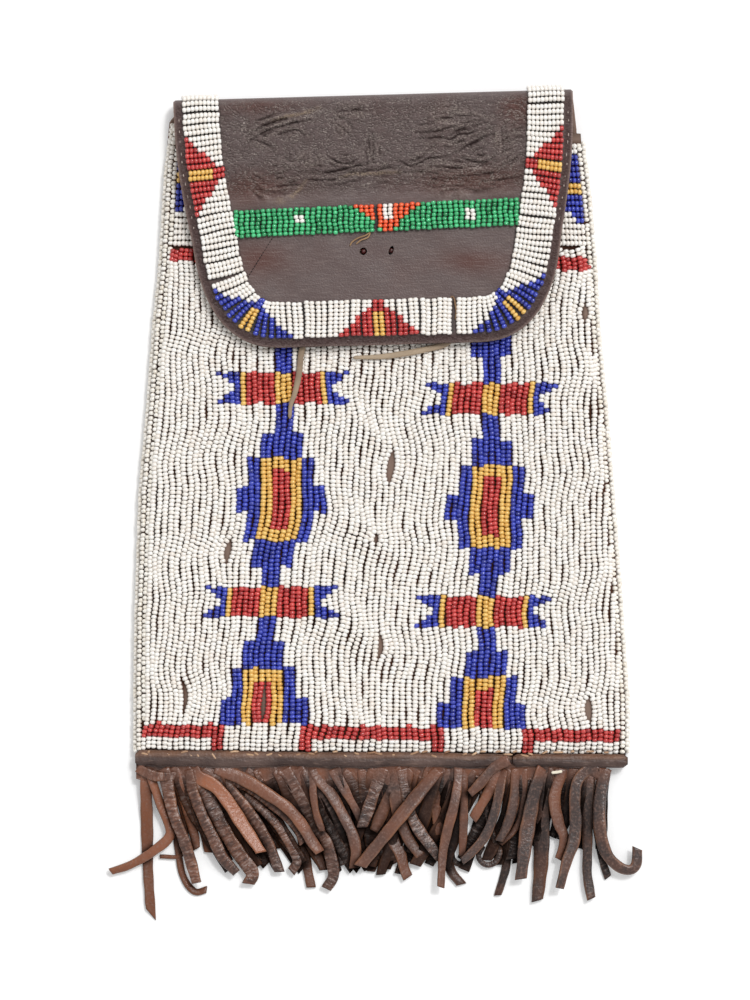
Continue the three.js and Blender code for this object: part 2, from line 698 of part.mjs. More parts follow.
function borderSlab(path) {
  const length = path.getLength();
  const count = Math.round(length / (STRINGS_PER_RIDGE * STRING_PITCH));
  const levels = steps(0, count, 2 * count);
  const surface = (height) => (share, level) => {
    const place = path.getPointAt(level / count);
    const ahead = path.getTangentAt(level / count);
    const x = place.x + share * BORDER_WIDTH * ahead.y;
    const y = place.y - share * BORDER_WIDTH * ahead.x;
    return [x, y, flapTop(y) + height(level)];
  };
  const crest = surface((level) => GAP + beadHeight(level));
  const base = surface(() => -LEATHER / 2);
  const strings = toSolid(sheet([0, 1], levels, crest, base));
  return strings.subtract(flapPlate(FLAP_TOP_WIDTH / 2, -GAP, LEATHER + OVERCUT));
}

// Triangles of the border: where each points in along the path, half its base and its colour.
const TRIANGLE_BASE = 14;
const TRIANGLE_DEPTH = 11.6;
const triangles = {
  side_right: [0.095, RED],
  corner_right: [0.318, BLUE],
  foot: [0.5, RED],
  corner_left: [0.682, BLUE],
  side_left: [0.895, RED],
};

function triangleOutline(path, share, grow) {
  const place = path.getPointAt(share);
  const ahead = path.getTangentAt(share);
  const at = (along, inwards) => [
    place.x + along * ahead.x + inwards * ahead.y,
    place.y + along * ahead.y - inwards * ahead.x,
  ];
  const outside = -BORDER_WIDTH / 2;
  const spread = 1 + grow * Math.hypot(1 / TRIANGLE_BASE, 1 / TRIANGLE_DEPTH);
  const half = TRIANGLE_BASE * (spread - outside / TRIANGLE_DEPTH);
  return [at(0, TRIANGLE_DEPTH * spread), at(half, outside), at(-half, outside)];
}

function buildBorder() {
  const path = borderPath();
  const slab = borderSlab(path);
  let lane = slab;
  const pieces = [];
  for (const [name, [share, color]] of Object.entries(triangles)) {
    lane = lane.subtract(prism(triangleOutline(path, share, GAP)));
    const field = slab.intersect(prism(triangleOutline(path, share, 0)));
    pieces.push(beads(`flap_triangle_${name}`, field, color));
  }
  return [beads('flap_border', lane, WHITE), ...pieces];
}

// Green band across the flap with an orange wedge in its middle.
const WEDGE_TOP_STRINGS = 6;
const WEDGE_FOOT_STRINGS = 1;
const WEDGE_SHIFT = 5.3; // from the band's middle

function buildBand() {
  const y0 = -BAND_FROM_FOLD - BAND_WIDTH / 2;
  const y1 = y0 + BAND_WIDTH;
  const pitch = (2 * bandHalf) / BAND_STRINGS;
  const ridges = BAND_STRINGS / STRINGS_PER_RIDGE;
  const ridgeX = (place) => lerp(-bandHalf, bandHalf, place / ridges);
  const surface = (lift) => (place, y) => [ridgeX(place), y, flapTopZ + GAP + lift * beadHeight(place)];
  const slab = toSolid(sheet(steps(0, ridges, 2 * ridges), [y0, y1], surface(1), surface(0)));
  const wedge = (grow) => {
    const foot = y0 + BEAD_ROW - grow;
    const top = WEDGE_TOP_STRINGS * pitch + grow;
    const narrow = WEDGE_FOOT_STRINGS * pitch + grow;
    const corners = [[-narrow, foot], [narrow, foot], [top, y1 + OVERCUT], [-top, y1 + OVERCUT]];
    return prism(corners.map(([x, y]) => [x + WEDGE_SHIFT, y]));
  };
  return [
    beads('flap_band', slab.subtract(wedge(GAP)), GREEN),
    beads('flap_band_wedge', slab.intersect(wedge(0)), ORANGE),
  ];
}

// Foot welt in two lengths, and the fringe under it

function buildWelt(name, from, to) {
  const foot = hemY - GAP;
  const top = footY - 2 * GAP;
  const last = WELT_PROFILE.length - 1;
  const across = WELT_PROFILE.map((height, i) => ({ y: lerp(foot, top, i / last), height }));
  const crown = (x, { y, height }) => [x, y, weltZ + height * WELT_HEIGHT];
  const flat = (x, { y }) => [x, y, weltZ];
  return leather(name, sheet([from, to], across, crown, flat), FLAP_BROWN);
}

// Thongs: width in percent of a middling one, level, root as a share of half the header, then the
// points that each passes, from its root across and from the hem down, in percent of the longest drop.
const THONGS = [
  [100, 1, -0.957, [0, -39], [2, -69], [4, -100]],
  [77, 2, -0.935, [7, -28], [15, -48], [2, -59], [-26, -72]],
  [105, 1, -0.878, [9, -44], [17, -67], [24, -83]],
  [82, 0, -0.833, [6, -28], [11, -46], [15, -61]],
  [98, 2, -0.788, [7, -30], [19, -50], [33, -72]],
  [105, 0, -0.743, [4, -39], [7, -59]],
  [118, 1, -0.721, [13, -39], [24, -61], [31, -78]],
  [114, 2, -0.743, [13, -19], [30, -41], [43, -59]],
  [105, 1, -0.698, [20, -24], [35, -46], [46, -72]],
  [91, 0, -0.676, [30, -28], [46, -46], [54, -70]],
  [105, 2, -0.631, [31, -22], [50, -41], [63, -59]],
  [105, 1, -0.417, [19, -30], [31, -54], [35, -78]],
  [68, 0, -0.282, [2, -31], [7, -46]],
  [114, 0, -0.259, [11, -39], [19, -69]],
  [98, 0, -0.338, [4, -61], [9, -81]],
  [98, 1, -0.225, [11, -31], [19, -54], [19, -70]],
  [91, 0, -0.169, [11, -28], [17, -43]],
  [105, 0, 0, [-4, -15], [-9, -30]],
  [105, 1, 0.068, [-7, -24], [-15, -43]],
  [114, 2, 0.225, [-22, -30], [-35, -48], [-52, -67]],
  [118, 0, 0.056, [2, -54], [7, -74]],
  [100, 0, 0.101, [2, -48], [9, -59]],
  [100, 1, 0.124, [6, -44], [19, -63]],
  [98, 0, 0.214, [2, -28], [4, -46]],
  [82, 2, 0.315, [-4, -28], [-9, -52], [-13, -81]],
  [77, 1, 0.338, [0, -35], [-2, -59]],
  [91, 2, 0.495, [-7, -7], [-15, -13], [-22, -19]],
  [91, 0, 0.462, [-7, -24], [-15, -35]],
  [84, 1, 0.495, [-4, -26], [-13, -50], [-28, -63]],
  [91, 0, 0.541, [0, -26], [-9, -50]],
  [75, 0, 0.507, [0, -54], [-2, -72], [-6, -87]],
  [91, 0, 0.315, [-4, -61], [2, -80]],
  [123, 1, 0.642, [-6, -31], [-9, -54], [-13, -74]],
  [127, 0, 0.664, [-2, -39], [-4, -69], [-6, -91]],
  [102, 1, 0.721, [-2, -30], [4, -50], [0, -63]],
  [98, 2, 0.811, [-4, -24], [-6, -52], [-15, -81]],
  [82, 1, 0.845, [-2, -46], [-2, -70], [2, -89]],
  [105, 2, 0.901, [-2, -39], [2, -59], [11, -69], [22, -67]],
  [68, 0, 0.89, [2, -54], [6, -74]],
];

function thongSolid([widthPercent, level, rootShare, ...places]) {
  const width = (THONG_WIDTH * widthPercent) / 100;
  const reach = (percent) => (FRINGE_DROP * percent) / 100;
  const root = [rootShare * headerHalf, hemY - HEADER_DROP / 4];
  const headerMiddle = headerZ + FRINGE_LEATHER / 2;
  const lying = FRINGE_LEVELS[level];
  const route = [root, ...places.map(([dx, dy]) => [root[0] + reach(dx), hemY + reach(dy)])];
  const curve = new THREE.SplineCurve(route.map(([x, y]) => new THREE.Vector2(x, y)));
  const count = route.length + 1;
  const edge = (lift) => (side, step) => {
    const place = curve.getPoint(step / count);
    const ahead = curve.getTangent(step / count);
    const drop = THREE.MathUtils.smoothstep(step / count, 0, THONG_DROP);
    const half = (width / 2) * (step === count ? THONG_TIP : 1);
    const thickness = FRINGE_LEATHER * (step === 0 ? THONG_ROOT : 1);
    const x = place.x + side * half * ahead.y;
    const y = place.y - side * half * ahead.x;
    return [x, y, lerp(headerMiddle, lying, drop) + (lift * thickness) / 2];
  };
  return toSolid(sheet([-1, 1], steps(0, count, count), edge(1), edge(-1)));
}

function buildFringe() {
  const top = footY - 3 * GAP;
  const foot = hemY - HEADER_DROP;
  const outline = [
    [-headerHalf, foot], [headerHalf - 2 * HEADER_DROP, foot], [headerHalf, hemY],
    [headerHalf, top], [-headerHalf, top],
  ];
  let fringe = prism(outline, headerZ, headerZ + FRINGE_LEATHER);
  for (const thong of THONGS) fringe = fringe.add(thongSolid(thong));
  return leather('fringe', fringe, FRINGE_BROWN);
}

// Tie thongs: each comes up through its eye in the front, runs out under the flap and ends loose
const tieZ = beadTopZ + GAP + TIE_THICKNESS / 2;
const hideZ = frontTopZ + GAP + TIE_THICKNESS / 2;
const TIE_ROUTES = {
  tie_left: [
    [-eyeX, eyeY, hideZ], [-eyeX - 1.5, eyeY - 4, (hideZ + tieZ) / 2], [-eyeX - 3.5, fieldTopY + 2, tieZ],
    [-10.5, 60, tieZ], [-17, 49, tieZ], [-25, 38, tieZ], [-28.6, 28.8, tieZ], [-29.7, 19.8, tieZ],
    [-31.2, 13, tieZ], [-32.6, 9, tieZ], [-33, 4, tieZ],
  ],
  tie_right: [
    [eyeX, eyeY, hideZ], [eyeX + 1.5, eyeY - 4, (hideZ + tieZ) / 2], [eyeX + 3.5, fieldTopY + 2, tieZ],
    [11.5, 60, tieZ], [19, 51, tieZ], [26, 43, tieZ], [27.5, 36, tieZ], [23.5, 31.2, tieZ],
    [17.5, 29.3, tieZ], [8.5, 27.5, tieZ], [-0.5, 26.3, tieZ], [-10.3, 26, tieZ],
  ],
};

function buildTie(name, route) {
  const curve = new THREE.CatmullRomCurve3(route.map((point) => new THREE.Vector3(...point)));
  const section = new THREE.Shape();
  section.absellipse(0, 0, TIE_THICKNESS / 2, TIE_WIDTH / 2, 0, 2 * Math.PI);
  const tube = new THREE.ExtrudeGeometry(section, {
    steps: Math.ceil(curve.getLength() / (2.5 * TIE_WIDTH)),
    curveSegments: 4,
    extrudePath: curve,
  });
  return leather(name, toSolid(tube), TIE_TAN);
}

// Assembly

const flap = new THREE.Group();
flap.applyMatrix4(foldFrame);
flap.add(buildFlap(), ...buildBorder(), ...buildBand());

const dispatchCase = new THREE.Group();
dispatchCase.add(
  buildBackPanel(),
  buildFrontPanel(),
  ...buildFrontBeads(),
  buildEdging('edging_left', -1),
  buildEdging('edging_right', 1),
  buildMouthLane('mouth_lane_left', -1),
  buildMouthLane('mouth_lane_right', 1),
  buildWelt('welt_left', -headerHalf, WELT_SPLIT - GAP),
  buildWelt('welt_right', WELT_SPLIT + GAP, headerHalf),
  buildFringe(),
  ...Object.entries(TIE_ROUTES).map(([name, route]) => buildTie(name, route)),
  flap,
);

export default dispatchCase;
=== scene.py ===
"""Looks of a beaded dispatch case that lies on its back: leather folded into a flap, strings of seed
beads, a stitched welt and a fringe of thongs. Lengths are in millimetres until a mesh is made."""

import json
import math
from collections import namedtuple

import bpy
import numpy as np
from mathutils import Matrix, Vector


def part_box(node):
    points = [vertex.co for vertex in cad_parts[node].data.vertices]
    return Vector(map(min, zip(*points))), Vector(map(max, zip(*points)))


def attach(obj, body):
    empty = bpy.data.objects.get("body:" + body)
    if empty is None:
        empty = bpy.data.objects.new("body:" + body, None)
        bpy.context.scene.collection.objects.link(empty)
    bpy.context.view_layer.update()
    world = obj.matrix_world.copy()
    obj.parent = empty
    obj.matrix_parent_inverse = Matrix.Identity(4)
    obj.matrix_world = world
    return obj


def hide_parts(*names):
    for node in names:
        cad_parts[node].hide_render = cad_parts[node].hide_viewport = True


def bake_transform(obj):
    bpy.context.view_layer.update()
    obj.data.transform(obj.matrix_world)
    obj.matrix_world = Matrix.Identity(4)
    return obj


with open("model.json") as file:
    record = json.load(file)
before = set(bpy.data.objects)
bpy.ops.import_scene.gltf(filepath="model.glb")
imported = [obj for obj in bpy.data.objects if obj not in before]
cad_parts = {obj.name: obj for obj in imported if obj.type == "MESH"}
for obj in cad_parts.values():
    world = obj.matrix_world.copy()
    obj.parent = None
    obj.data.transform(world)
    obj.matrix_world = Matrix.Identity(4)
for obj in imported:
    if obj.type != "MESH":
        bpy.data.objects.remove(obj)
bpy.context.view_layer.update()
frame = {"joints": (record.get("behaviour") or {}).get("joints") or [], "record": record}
rng = np.random.default_rng(7)

MM = 0.001
FULL_TURN = 2 * math.pi
WORLD_UP = np.array([0.0, 0.0, 1.0])
SIDES = (("left", -1), ("right", 1))


def box_mm(node):
    return np.array(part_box(node)) / MM


# Photograph: where its pixels lie on the object
PHOTO_WIDTH, PHOTO_HEIGHT = 750, 1000
PIXEL = 0.36
ORIGIN_PIXEL = (381.5, 430.0)


def from_photo(px, py):
    """Place on the object, in millimetres, of a pixel of the photograph."""
    return (px - ORIGIN_PIXEL[0]) * PIXEL, (ORIGIN_PIXEL[1] - py) * PIXEL


def photo_y(py):
    return from_photo(0, py)[1]


def line_x(pixels, y):
    """Place across, at a level, of a line by pixels of the photograph, listed from the foot up."""
    xs, ys = from_photo(*np.array(pixels).T)
    return np.interp(y, ys, xs)


# Sizes taken from the frame
front_low, front_high = box_mm("front_panel")
welt_low, welt_high = box_mm("welt_left")
HEM_Y = front_low[1]
FRONT_TOP = front_high[2]
FIELD_TOP_Y = box_mm("beads_ground")[1][1]
FLAP_TOP_Z = box_mm("flap")[1][2]
fold = frame["joints"][0]
FOLD_PLACE = np.array(fold["pos_m"]) / MM
FOLD_ALONG = -np.array(fold["axis"])
FOLD_RADIUS = FOLD_PLACE[2]

# Leather of the pouch
GAP = 0.3
LEATHER = 2.0
FRONT_HIDE = 1.2
EDGE_ROUND = 16.0
SEAM_ALLOWANCE = 5.2
MOUTH_HORN = 6.0
HORN_WIDTH = 9.0
HORN_BLEND = 5.0
HORN_LENGTH = 20.0
MOUTH_MARGIN = 4.0
EDGING_REACH = 1.7
FOOT_Y = HEM_Y + SEAM_ALLOWANCE
MOUTH_Y = front_high[1] - MOUTH_HORN
SEAM_TOP = LEATHER + GAP + FRONT_HIDE

# Beads: rings are places along the bead with their share of its radius
STRING_PITCH = 2.07
BEAD_ROW = 1.46
BEAD_WIDTH = 2.0
BEAD_HEIGHT = 1.9
BEAD_LENGTH = 1.43
BEAD_RINGS = ((-0.5, 0.6), (-0.23, 1.0), (0.23, 1.0), (0.5, 0.6))
BEAD_SECTION = ((1, 0), (0.58, 0.9), (-0.58, 0.9), (-1, 0), (-0.58, -0.9), (0.58, -0.9))
BEAD_SIDES = len(BEAD_SECTION)
SEAM_FROM = 0.4
# Middle and spread of the beads' tones
BEAD_TONE = (0.64, 0.22)

# Flap, in the fold's own frame: u along the fold, v from its crest
FLAP_LENGTH = 90.5
FLAP_TOP_HALF = 72.0
FLAP_SIDE_HALF = 66.3
FLAP_SIDE_LENGTH = 52.0
FLAP_SIDE_BULGE = 1.4
FLAP_FOOT_HALF = 36.0
FLAP_SLOPE_LENGTH = 24.0
FLAP_LIP = 3.2
QUARTER = FOLD_RADIUS * math.pi / 2
SLOPE_RISE = FLAP_TOP_Z - 2 * FOLD_RADIUS
SLOPE_RUN = math.hypot(FLAP_SLOPE_LENGTH - FOLD_RADIUS, SLOPE_RISE)


# Curves and ways

def smoothstep(x):
    x = np.clip(x, 0, 1)
    return x * x * (3 - 2 * x)


def bell(distance, width):
    """1 at no distance, falling away smoothly over about the width."""
    return np.exp(-((distance / width) ** 2))


def unit(v):
    return v / np.linalg.norm(v, axis=-1, keepdims=True)


def left_of(ways):
    """Ways in a plane, turned a quarter to the left."""
    return np.stack([-ways[..., 1], ways[..., 0]], axis=-1)


def lengths_along(line):
    """Length along a line up to each of its points."""
    return np.concatenate([[0], np.cumsum(np.linalg.norm(np.diff(line, axis=0), axis=1))])


def resampled(line, along, at):
    """Places of a line at some lengths along it."""
    return np.stack([np.interp(at, along, values) for values in line.T], axis=1)


def waves(x, *parts):
    """Sum of waves along x, each given by its height, length and turn."""
    return sum(height * np.sin(x / length + turn) for height, length, turn in parts)


SPLINE_STEPS = 12


def spline(points, count):
    """count places along a smooth curve through the points, evenly spaced."""
    p = np.array(points, float)
    p = np.vstack([2 * p[0] - p[1], p, 2 * p[-1] - p[-2]])
    t = np.linspace(0, 1, SPLINE_STEPS, endpoint=False)[:, None]
    runs = []
    for a, b, c, d in zip(p[:-3], p[1:-2], p[2:-1], p[3:]):
        cubic = 2 * b + (c - a) * t + (2 * a - 5 * b + 4 * c - d) * t**2
        runs.append(0.5 * (cubic + (3 * b - a - 3 * c + d) * t**3))
    line = np.vstack([*runs, p[-2:-1]])
    along = lengths_along(line)
    return resampled(line, along, np.linspace(0, along[-1], count))


# Camera: straight down on the case, far off with a long lens
CAMERA_LENS = 200.0
CAMERA_SENSOR = 36.0
CAMERA_FOCUS_Z = 9.0
CAMERA_CLIP_END = 20


def make_camera():
    data = bpy.data.cameras.new("camera")
    data.lens = CAMERA_LENS
    data.sensor_width = CAMERA_SENSOR
    data.clip_end = CAMERA_CLIP_END
    camera = bpy.data.objects.new("camera", data)
    x, y = from_photo(PHOTO_WIDTH / 2, PHOTO_HEIGHT / 2)
    away = PHOTO_HEIGHT * PIXEL * CAMERA_LENS / CAMERA_SENSOR
    camera.location = (x * MM, y * MM, (CAMERA_FOCUS_Z + away) * MM)
    bpy.context.scene.collection.objects.link(camera)
    bpy.context.scene.camera = camera


# Meshes

def make_mesh(name, points, faces, material, body, slot=None, attributes=None, flat=None):
    """A smooth-shaded piece from points in millimetres and arrays of faces with equal corners."""
    mesh = bpy.data.meshes.new(name)
    corners = np.concatenate([np.asarray(f).ravel() for f in faces])
    totals = np.concatenate([np.full(len(f), np.asarray(f).shape[1]) for f in faces])
    starts = np.concatenate([[0], np.cumsum(totals)[:-1]])
    mesh.vertices.add(len(points))
    mesh.vertices.foreach_set("co", (np.asarray(points) * MM).astype(np.float32).ravel())
    mesh.loops.add(len(corners))
    mesh.loops.foreach_set("vertex_index", corners.astype(np.int32))
    mesh.polygons.add(len(totals))
    mesh.polygons.foreach_set("loop_start", starts.astype(np.int32))
    mesh.polygons.foreach_set("loop_total", totals.astype(np.int32))
    mesh.polygons.foreach_set("use_smooth", np.ones(len(totals), bool))
    for key, values in (attributes or {}).items():
        layer = mesh.attributes.new(key, "FLOAT", "POINT")
        layer.data.foreach_set("value", np.asarray(values, np.float32))
    if flat is not None:
        layer = mesh.uv_layers.new(name="flat")
        layer.data.foreach_set("uv", np.asarray(flat, np.float32)[corners].ravel())
    mesh.update(calc_edges=True)
    mesh.materials.append(material)
    piece = bpy.data.objects.new(name, mesh)
    bpy.context.scene.collection.objects.link(piece)
    if body:
        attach(piece, body)
    return piece


def grid_faces(rows, columns, start=0, flip=False):
    """Quads of a grid of points, rows by columns."""
    j, i = np.meshgrid(np.arange(rows - 1), np.arange(columns - 1), indexing="ij")
    a = start + j * columns + i
    quads = np.stack([a, a + 1, a + columns + 1, a + columns], axis=-1).reshape(-1, 4)
    return quads[:, ::-1] if flip else quads


def plate_faces(rows, columns):
    """Quads of a closed plate: an upper grid, a lower grid after it, and the rim between them."""
    count = rows * columns
    first, last = np.arange(columns), (rows - 1) * columns + np.arange(columns)
    left, right = np.arange(rows) * columns, np.arange(rows) * columns + columns - 1
    rims = []
    for edge, flip in ((first, True), (last, False), (left, False), (right, True)):
        quad = np.stack([edge[:-1], edge[1:], edge[1:] + count, edge[:-1] + count], axis=-1)
        rims.append(quad if flip else quad[:, ::-1])
    return np.vstack([grid_faces(rows, columns), grid_faces(rows, columns, count, True), *rims])


def plate(name, upper, lower, material, body, slot=None, attributes=None, flat=None):
    """A closed piece between two grids of points of the same shape."""
    rows, columns = upper.shape[:2]
    points = np.vstack([upper.reshape(-1, 3), lower.reshape(-1, 3)])
    faces = [plate_faces(rows, columns)]
    return make_mesh(name, points, faces, material, body, slot, attributes, flat)


def both_faces(upper, lower=None):
    """Values for the points of a plate: its upper grid, then its lower one, 0 where none is given."""
    lower = np.zeros(upper.shape) if lower is None else lower
    return np.concatenate([upper.ravel(), lower.ravel()])


def grid_of(values, columns):
    """Grid whose rows each repeat one value."""
    return np.repeat(values[:, None], columns, axis=1)


def ring_faces(rows, sides, start=0, flip=False):
    """Quads between rings of points that follow each other, and the caps at both ends."""
    i, j = np.meshgrid(np.arange(rows - 1), np.arange(sides), indexing="ij")
    a, b = i * sides + j, i * sides + (j + 1) % sides
    quads = np.stack([a, b, b + sides, a + sides], axis=-1).reshape(-1, 4) + start
    first = np.arange(sides)
    caps = np.stack([first[::-1], (rows - 1) * sides + first]) + start
    return (quads[:, [0, 3, 2, 1]], caps[:, ::-1]) if flip else (quads, caps)


TUBE_END = 0.35


def tube(line, half_across, half_high, sides):
    """Points of an oval tube along a line, its ends drawn in."""
    ahead = unit(np.gradient(line, axis=0))
    side = unit(np.cross(ahead, WORLD_UP))
    up = np.cross(side, ahead)
    turn = np.arange(sides)[:, None] / sides * FULL_TURN
    ends = np.ones(len(line))
    ends[[0, -1]] = TUBE_END
    across = (half_across * ends)[:, None, None] * np.cos(turn) * side[:, None]
    high = (half_high * ends)[:, None, None] * np.sin(turn) * up[:, None]
    return (line[:, None] + across + high).reshape(-1, 3)


def make_tubes(name, lines, half_across, half_high, sides, material, body, slot):
    """Oval tubes along lines, joined into one piece."""
    points, faces, start = [], [], 0
    for line in lines:
        points.append(tube(line, half_across, half_high, sides))
        faces.append(ring_faces(len(line), sides, start))
        start += len(points[-1])
    quads, caps = (np.vstack(part) for part in zip(*faces))
    return make_mesh(name, np.vstack(points), [quads, caps], material, body, slot)


# Materials: colours are eight-bit ones
BUMP_DISTANCE = 0.0004
CRACK_WIDTH = 0.075


def srgb(colour):
    """Linear colour of an eight-bit one."""
    c = np.array(colour) / 255
    return (*np.where(c <= 0.04045, c / 12.92, ((c + 0.055) / 1.055) ** 2.4), 1.0)


class Nodes:
    """Nodes of a material or a world, added one by one. A value is a constant or a node's output."""

    def __init__(self, owner, surface):
        owner.use_nodes = True
        self.tree = owner.node_tree
        self.surface = self.tree.nodes[surface]

    def put(self, socket, value):
        if isinstance(value, bpy.types.NodeSocket):
            self.tree.links.new(value, socket)
        else:
            socket.default_value = value

    def set(self, key, value):
        self.put(self.surface.inputs[key], value)

    def node(self, kind, inputs=None, **settings):
        node = self.tree.nodes.new(kind)
        for key, value in settings.items():
            setattr(node, key, value)
        for key, value in (inputs or {}).items():
            self.put(node.inputs[key], value)
        return node

    def math(self, operation, a, b, clamp=False):
        node = self.node("ShaderNodeMath", {0: a, 1: b}, operation=operation, use_clamp=clamp)
        return node.outputs[0]

    def seen(self, *kinds):
        """1 for rays of any of the kinds, 0 for others."""
        path = self.node("ShaderNodeLightPath").outputs
        found = path[f"Is {kinds[0]} Ray"]
        for kind in kinds[1:]:
            found = self.math("MAXIMUM", found, path[f"Is {kind} Ray"])
        return found


class Shader(Nodes):
    """A material with a plain surface, and the patterns that are laid on it."""

    def __init__(self, name, roughness, specular):
        self.material = bpy.data.materials.new(name)
        super().__init__(self.material, "Principled BSDF")
        self.set("Roughness", roughness)
        self.set("Specular IOR Level", specular)

    def attribute(self, name):
        return self.node("ShaderNodeAttribute", attribute_name=name).outputs["Fac"]

    def times(self, product, *factors):
        for factor in factors:
            product = self.math("MULTIPLY", product, factor)
        return product

    def mix(self, factor, a, b):
        a, b = (c if isinstance(c, bpy.types.NodeSocket) else srgb(c) for c in (a, b))
        return self.node("ShaderNodeMix", {0: factor, 6: a, 7: b}, data_type="RGBA").outputs[2]

    def tint(self, colour, other, *factors):
        """A colour turned towards another by the product of the factors, used both for the things' own
        colours and for painted shade and highlight.
        """
        return self.mix(self.times(*factors), colour, other)

    def ramp(self, value, low, high):
        return self.node("ShaderNodeMapRange", {0: value, 1: low, 2: high}).outputs[0]

    def place(self, flat=False):
        if flat:
            return self.node("ShaderNodeUVMap", uv_map="flat").outputs["UV"]
        return self.node("ShaderNodeTexCoord").outputs["Object"]

    def moved(self, place, **by):
        return self.node("ShaderNodeMapping", {"Vector": place, **by}).outputs[0]

    def noise(self, place, scale, detail, stretch=None, **more):
        if stretch:
            place = self.moved(place, Scale=stretch)
        inputs = {"Vector": place, "Scale": scale, "Detail": detail, **more}
        return self.node("ShaderNodeTexNoise", inputs).outputs["Fac"]

    def cracks(self, place, scale, wander):
        """A net of thin wandering lines: 1 on the lines, 0 between them."""
        inputs = {"Vector": place, "Scale": scale, "Detail": 3.0}
        wobble = self.node("ShaderNodeTexNoise", inputs).outputs["Color"]
        reach = (wander, wander, 0.0)
        sway = self.node("ShaderNodeVectorMath", {0: wobble, 1: reach}, operation="MULTIPLY")
        moved = self.node("ShaderNodeVectorMath", {0: place, 1: sway.outputs[0]}, operation="ADD")
        inputs = {"Vector": moved.outputs[0], "Scale": scale}
        cells = self.node("ShaderNodeTexVoronoi", inputs, feature="DISTANCE_TO_EDGE")
        return self.ramp(cells.outputs["Distance"], CRACK_WIDTH, 0.0)

    def bump(self, height, strength):
        inputs = {"Height": height, "Strength": strength, "Distance": BUMP_DISTANCE}
        self.set("Normal", self.node("ShaderNodeBump", inputs).outputs[0])


# Dark and light colour of each kind of bead, and its roughness
BEAD_COLOURS = {
    "white": ((244, 235, 225), (255, 252, 247), 0.3),
    "cream": ((238, 229, 214), (254, 250, 243), 0.3),
    "blue": ((25, 33, 120), (62, 77, 194), 0.2),
    "red": ((148, 28, 32), (216, 74, 70), 0.2),
    "yellow": ((220, 162, 62), (244, 202, 114), 0.26),
    "green": ((12, 118, 64), (80, 206, 138), 0.2),
    "orange": ((232, 70, 26), (252, 112, 62), 0.25),
}
BEAD_SLOTS = {"cream": "bead_white"}
BEAD_SPECULAR = 0.9
SEAM_BROWN = (104, 60, 44)
# Share of brown at the beads' ends: thread, and painted shade between the beads
SEAM_THREAD_AND_SHADE = 0.06


def bead_material(colour):
    """Opaque glass, a little different from bead to bead, browner at both ends of each bead for thread and
    for painted shade between the beads.
    """
    dark, light, roughness = BEAD_COLOURS[colour]
    shader = Shader(f"bead_{colour}", roughness, BEAD_SPECULAR)
    tone = shader.mix(shader.attribute("tone"), dark, light)
    shader.set("Base Color", shader.tint(tone, SEAM_BROWN, shader.attribute("seam"), SEAM_THREAD_AND_SHADE))
    return shader.material


def leather_material(name, colours, scale, roughness, bump, flat=False, fields=(), specular=0.4):
    """Leather with cloudy colour, grain and fine creases, and fields of other colours by attribute."""
    dark, middle, light = colours
    shader = Shader(name, roughness, specular)
    place = shader.place(flat)
    clouds = shader.noise(place, scale * 0.12, 5.0)
    grain = shader.noise(place, scale * 1.6, 6.0)
    scuffs = shader.noise(place, scale, 4.0, (0.35, 1.6, 1.0))
    colour = shader.mix(shader.ramp(clouds, 0.34, 0.66), dark, middle)
    colour = shader.tint(colour, light, shader.ramp(scuffs, 0.56, 0.74), 0.5)
    for attribute, other, share in fields:
        colour = shader.tint(colour, other, shader.attribute(attribute), share)
    shader.set("Base Color", colour)
    shader.bump(shader.math("ADD", grain, scuffs), bump)
    return shader.material


def plain_leather(name, dark, light, scale, roughness):
    return leather_material(name, (dark, light, light), scale, roughness, 0.3)


THONG_SPECULAR = 0.6


def thong_material():
    """Dark shiny thong leather with cross creases, tan where it is raw, with painted shade in the creases'
    hollows and where the shade attribute is low, and painted highlight on the creases' ridges.
    """
    shader = Shader("thong_leather", 0.34, THONG_SPECULAR)
    place = shader.place()
    clouds = shader.noise(place, 110, 5.0)
    grain = shader.noise(place, 1100, 6.0)
    patchy = shader.times(shader.math("SUBTRACT", clouds, 0.5), 1.1)
    tone = shader.math("ADD", shader.attribute("tone"), patchy, True)
    colour = shader.mix(tone, (60, 47, 44), (152, 92, 62))
    colour = shader.tint(colour, (144, 112, 98), shader.ramp(grain, 0.5, 0.7), 0.46)
    worn = shader.ramp(clouds, 0.4, 0.62)
    colour = shader.tint(colour, (140, 92, 62), shader.attribute("edge"), worn, 0.6)
    axes = {"X": "along", "Y": "across", "Z": "tone"}
    axes = {axis: shader.attribute(name) for axis, name in axes.items()}
    lengthwise = shader.node("ShaderNodeCombineXYZ", axes).outputs[0]
    folds = shader.noise(lengthwise, 1.0, 2.0, (1.0, 0.35, 40.0))
    scores = shader.noise(lengthwise, 1.0, 3.0, (0.12, 2.6, 40.0))
    colour = shader.tint(colour, (124, 96, 84), shader.ramp(scores, 0.55, 0.75), 0.35)
    crease = shader.attribute("crease")
    # Painted shade in the hollows of the folds, painted highlight on their ridges
    colour = shader.tint(colour, (34, 24, 23), shader.ramp(folds, 0.5, 0.36), crease, 0.55)
    colour = shader.tint(colour, (166, 146, 138), shader.ramp(folds, 0.54, 0.68), crease, 0.6)
    # Painted shade: toward near black, with less specular, where the shade attribute is low
    shade = shader.attribute("shade")
    shader.set("Specular IOR Level", shader.times(shade, THONG_SPECULAR))
    shader.set("Base Color", shader.mix(shade, (10, 6, 5), colour))
    creases = shader.times(folds, shader.math("ADD", shader.times(crease, 2.6), 0.6), 0.9)
    shader.bump(shader.math("ADD", creases, grain), 0.5)
    return shader.material


FLAP_SPECULAR = 0.4
CRACK_SCALE = 330.0
CRACK_WANDER = 0.011
CRACK_LIP = (0.00018, 0.0004, 0.0)
